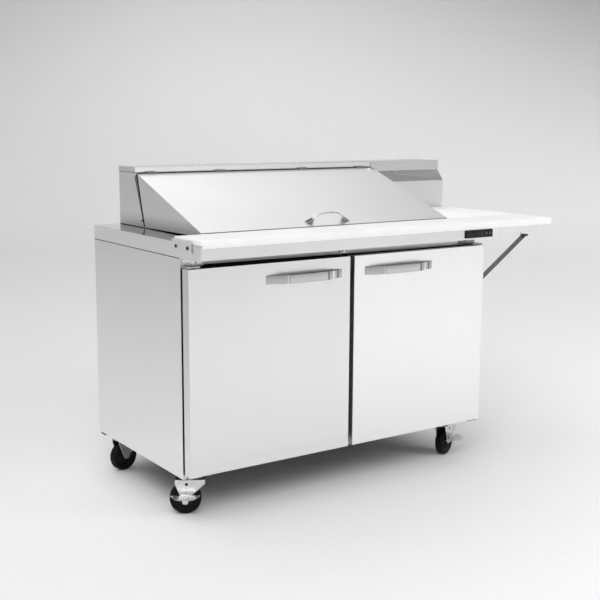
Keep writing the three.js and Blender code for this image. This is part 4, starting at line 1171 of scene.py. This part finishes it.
def screws():
    low, high = cabinet_mm("board_clip")
    clip_z, hood_foot_z = 867, 903
    clip = [(at(low.x, y, clip_z), -X) for y in (71, -2)]
    fasteners("board_clip_screws", clip, 6.0, material=SCREW_DARK)
    seam = ((low.x + 0.2, low.y - 0.6, low.z + 8), (low.x + 1, low.y + 0.2, high.z - 6))
    blocks("board_clip_seam", [seam])
    low, high = cabinet_mm("hood_shell")
    feet = [(at(low.x, 512, hood_foot_z), -X), (at(high.x, 545, hood_foot_z), X)]
    fasteners("hood_foot_screws", feet, 4.0, material=SCREW_DARK)
    door_top = cabinet_mm("left_door_skin")[1].z
    stop_face = 45
    stop = ((603, stop_face, door_top + 6), (633, 48.2, door_top + 22))
    blocks("door_stop", [stop], ZINC, "plated_steel", bevel=0.6)
    stops = [(at(x, stop_face, door_top + 14), -Y) for x in (610, 626)]
    fasteners("door_stop_screws", stops, 3.4, material=SCREW_DARK)
    leaf_face = 48.7
    for side in ("left", "right"):
        for level in ("top", "bottom"):
            low, high = cabinet_mm(f"{side}_{level}_hinge")
            z = high.z - 11 if level == "top" else low.z + 6
            face = low.x if side == "right" else high.x
            inward = 1 if side == "right" else -1
            leaf = [(at(face + inward * dx, leaf_face, z), -Y) for dx in (9, 26)]
            fasteners(f"{side}_{level}_hinge_screws", leaf, 3.4, material=SCREW_DARK)
    low, high = cabinet_mm("rear_grille")
    left, right = low.x + 10, high.x - 10
    middle_x, middle_z = 610, 365
    rim = [(at(x, high.y, z), Y) for x in (left, middle_x, right) for z in (low.z + 10, high.z - 10)]
    rim += [(at(x, high.y, middle_z), Y) for x in (left, right)]
    fasteners("rear_grille_screws", rim, 3.6)
    low, high = cabinet_mm("back_panel")
    edge = [(at(x, high.y, z), Y) for x in (low.x + 12, high.x - 12) for z in (160, 380, 600, 800)]
    fasteners("back_panel_screws", edge, 3.6)
    for name in ("front_brace", "rear_brace"):
        low, high = cabinet_mm(name)
        # The front one runs forward as it rises; the rear one lies square.
        foot_y, head_y = (high.y, low.y - 1.2) if name == "front_brace" else (low.y, low.y)
        (foot_x, foot_z), (head_x, head_z) = BRACE_ENDS
        ends = [(at(foot_x, foot_y - 4.2, foot_z), -Y), (at(head_x, head_y, head_z), -Y)]
        fasteners(f"{name}_bolts", ends, 4.5, hex_bolt, BLACK_PAINT, "brace_paint")
        bm = bmesh.new()
        pin = [(0, 0), (4, 0.4), (4, 17.6), (3, 18.4), (0, 18.5)]
        lathe(bm, pin, Vector((head_x + 5, low.y + 3, head_z + 3)), X, 16)
        piece(f"{name}_pin", placed(bm), BLACK_PAINT, "cabinet", "brace_paint", angle=40)


screws()


# ---- Floor, backdrop and light ----
def studio():
    """A pale floor that sweeps up into a far backdrop all round, open at the top, with painted light and shade on
    the backdrop.
    """
    flat, sweep, height = 6.5, 3.0, 7.0
    profile = [(0.0, 0.0), (1.5, 0.0), (3.0, 0.0), (flat, 0.0)]
    for i in range(1, 13):
        t = math.pi / 2 * i / 12
        profile.append((flat + sweep * math.sin(t), sweep * (1 - math.cos(t))))
    profile.append((flat + sweep, height))
    bm = bmesh.new()
    rings = [circle(Vector((0, 0, h)), Z, max(r, 1e-4), 96) for r, h in profile]
    loft(bm, rings, capped=False)
    mesh = bpy.data.meshes.new("studio_floor")
    bm.to_mesh(mesh)
    bm.free()
    for polygon in mesh.polygons:
        polygon.use_smooth = True
    f = Finish("studio_paper")
    f.roughness(0.85)
    speck = f.noise(40, detail=4)
    paper = f.blend(f.between(speck), grey(0.875), grey(0.895))
    # Painted light and shade: the paper is lightest round one spot on the backdrop and darkens away from it and
    # higher up; the floor stays even.
    lit = f.node("ShaderNodeVectorMath", Vector=f.place)
    lit.operation = "DISTANCE"
    lit.inputs[1].default_value = (4.4, 8.4, 0.3)        # the brightest spot, on the backdrop
    high = f.node("ShaderNodeSeparateXYZ", Vector=f.place).outputs["Z"]
    dim = f.product(f.between(lit.outputs["Value"], 0, 1, 1.2, 4.9), f.between(high, 0, 1, 0.3, 2.6))
    f.colour(f.blend(dim, paper, grey(0.46)))
    mesh.materials.append(f.material)
    floor = bpy.data.objects.new("studio_floor", mesh)
    bpy.context.scene.collection.objects.link(floor)


def area_light(name, place, target, size, power):
    data = bpy.data.lights.new(name, "AREA")
    data.shape, data.size, data.size_y = "RECTANGLE", *size
    data.energy = power
    light = bpy.data.objects.new(name, data)
    bpy.context.scene.collection.objects.link(light)
    light.location = place
    light.rotation_euler = (Vector(target) - Vector(place)).to_track_quat("-Z", "Y").to_euler()
    light.visible_camera = False
    return light


SKY_STRENGTH = 1.5
DIM_PATCH = (0.56, -0.34, 0.76)


def lights():
    world = bpy.data.worlds.new("studio_sky")
    bpy.context.scene.world = world
    world.use_nodes = True
    tree = world.node_tree
    background = tree.nodes["Background"]
    background.inputs["Strength"].default_value = SKY_STRENGTH
    # A soft ceiling with one dim patch over the front right, where DIM_PATCH points.
    direction = tree.nodes.new("ShaderNodeTexCoord").outputs["Generated"]
    nearness = tree.nodes.new("ShaderNodeVectorMath")
    nearness.operation = "DOT_PRODUCT"
    nearness.inputs[1].default_value = DIM_PATCH
    tree.links.new(direction, nearness.inputs[0])
    spread = tree.nodes.new("ShaderNodeMapRange")
    for key, value in (("From Min", 0.4), ("From Max", 1.0), ("To Min", 0.0), ("To Max", 1.0)):
        spread.inputs[key].default_value = value
    tree.links.new(nearness.outputs["Value"], spread.inputs["Value"])
    tones = tree.nodes.new("ShaderNodeValToRGB")
    tones.color_ramp.elements[0].color = grey(1.0)
    tones.color_ramp.elements[1].color = grey(0.22)
    for place, tone in ((0.17, 1.0), (0.37, 0.84), (0.5, 0.6), (0.75, 0.28)):
        tones.color_ramp.elements.new(place).color = grey(tone)
    tree.links.new(spread.outputs["Result"], tones.inputs["Fac"])
    tree.links.new(tones.outputs["Color"], background.inputs["Color"])
    area_light("key_softbox", (-3.0, -3.5, 4.2), (0, 0, 0.5), (2.5, 2.5), 80)
    wash = area_light("front_floor_wash", (3.0, -3.8, 2.6), (2.3, -3.0, 0), (2.0, 2.0), 70)
    wash.visible_glossy = False
    bpy.context.scene.view_settings.view_transform = "Standard"


studio()
lights()
make_camera()
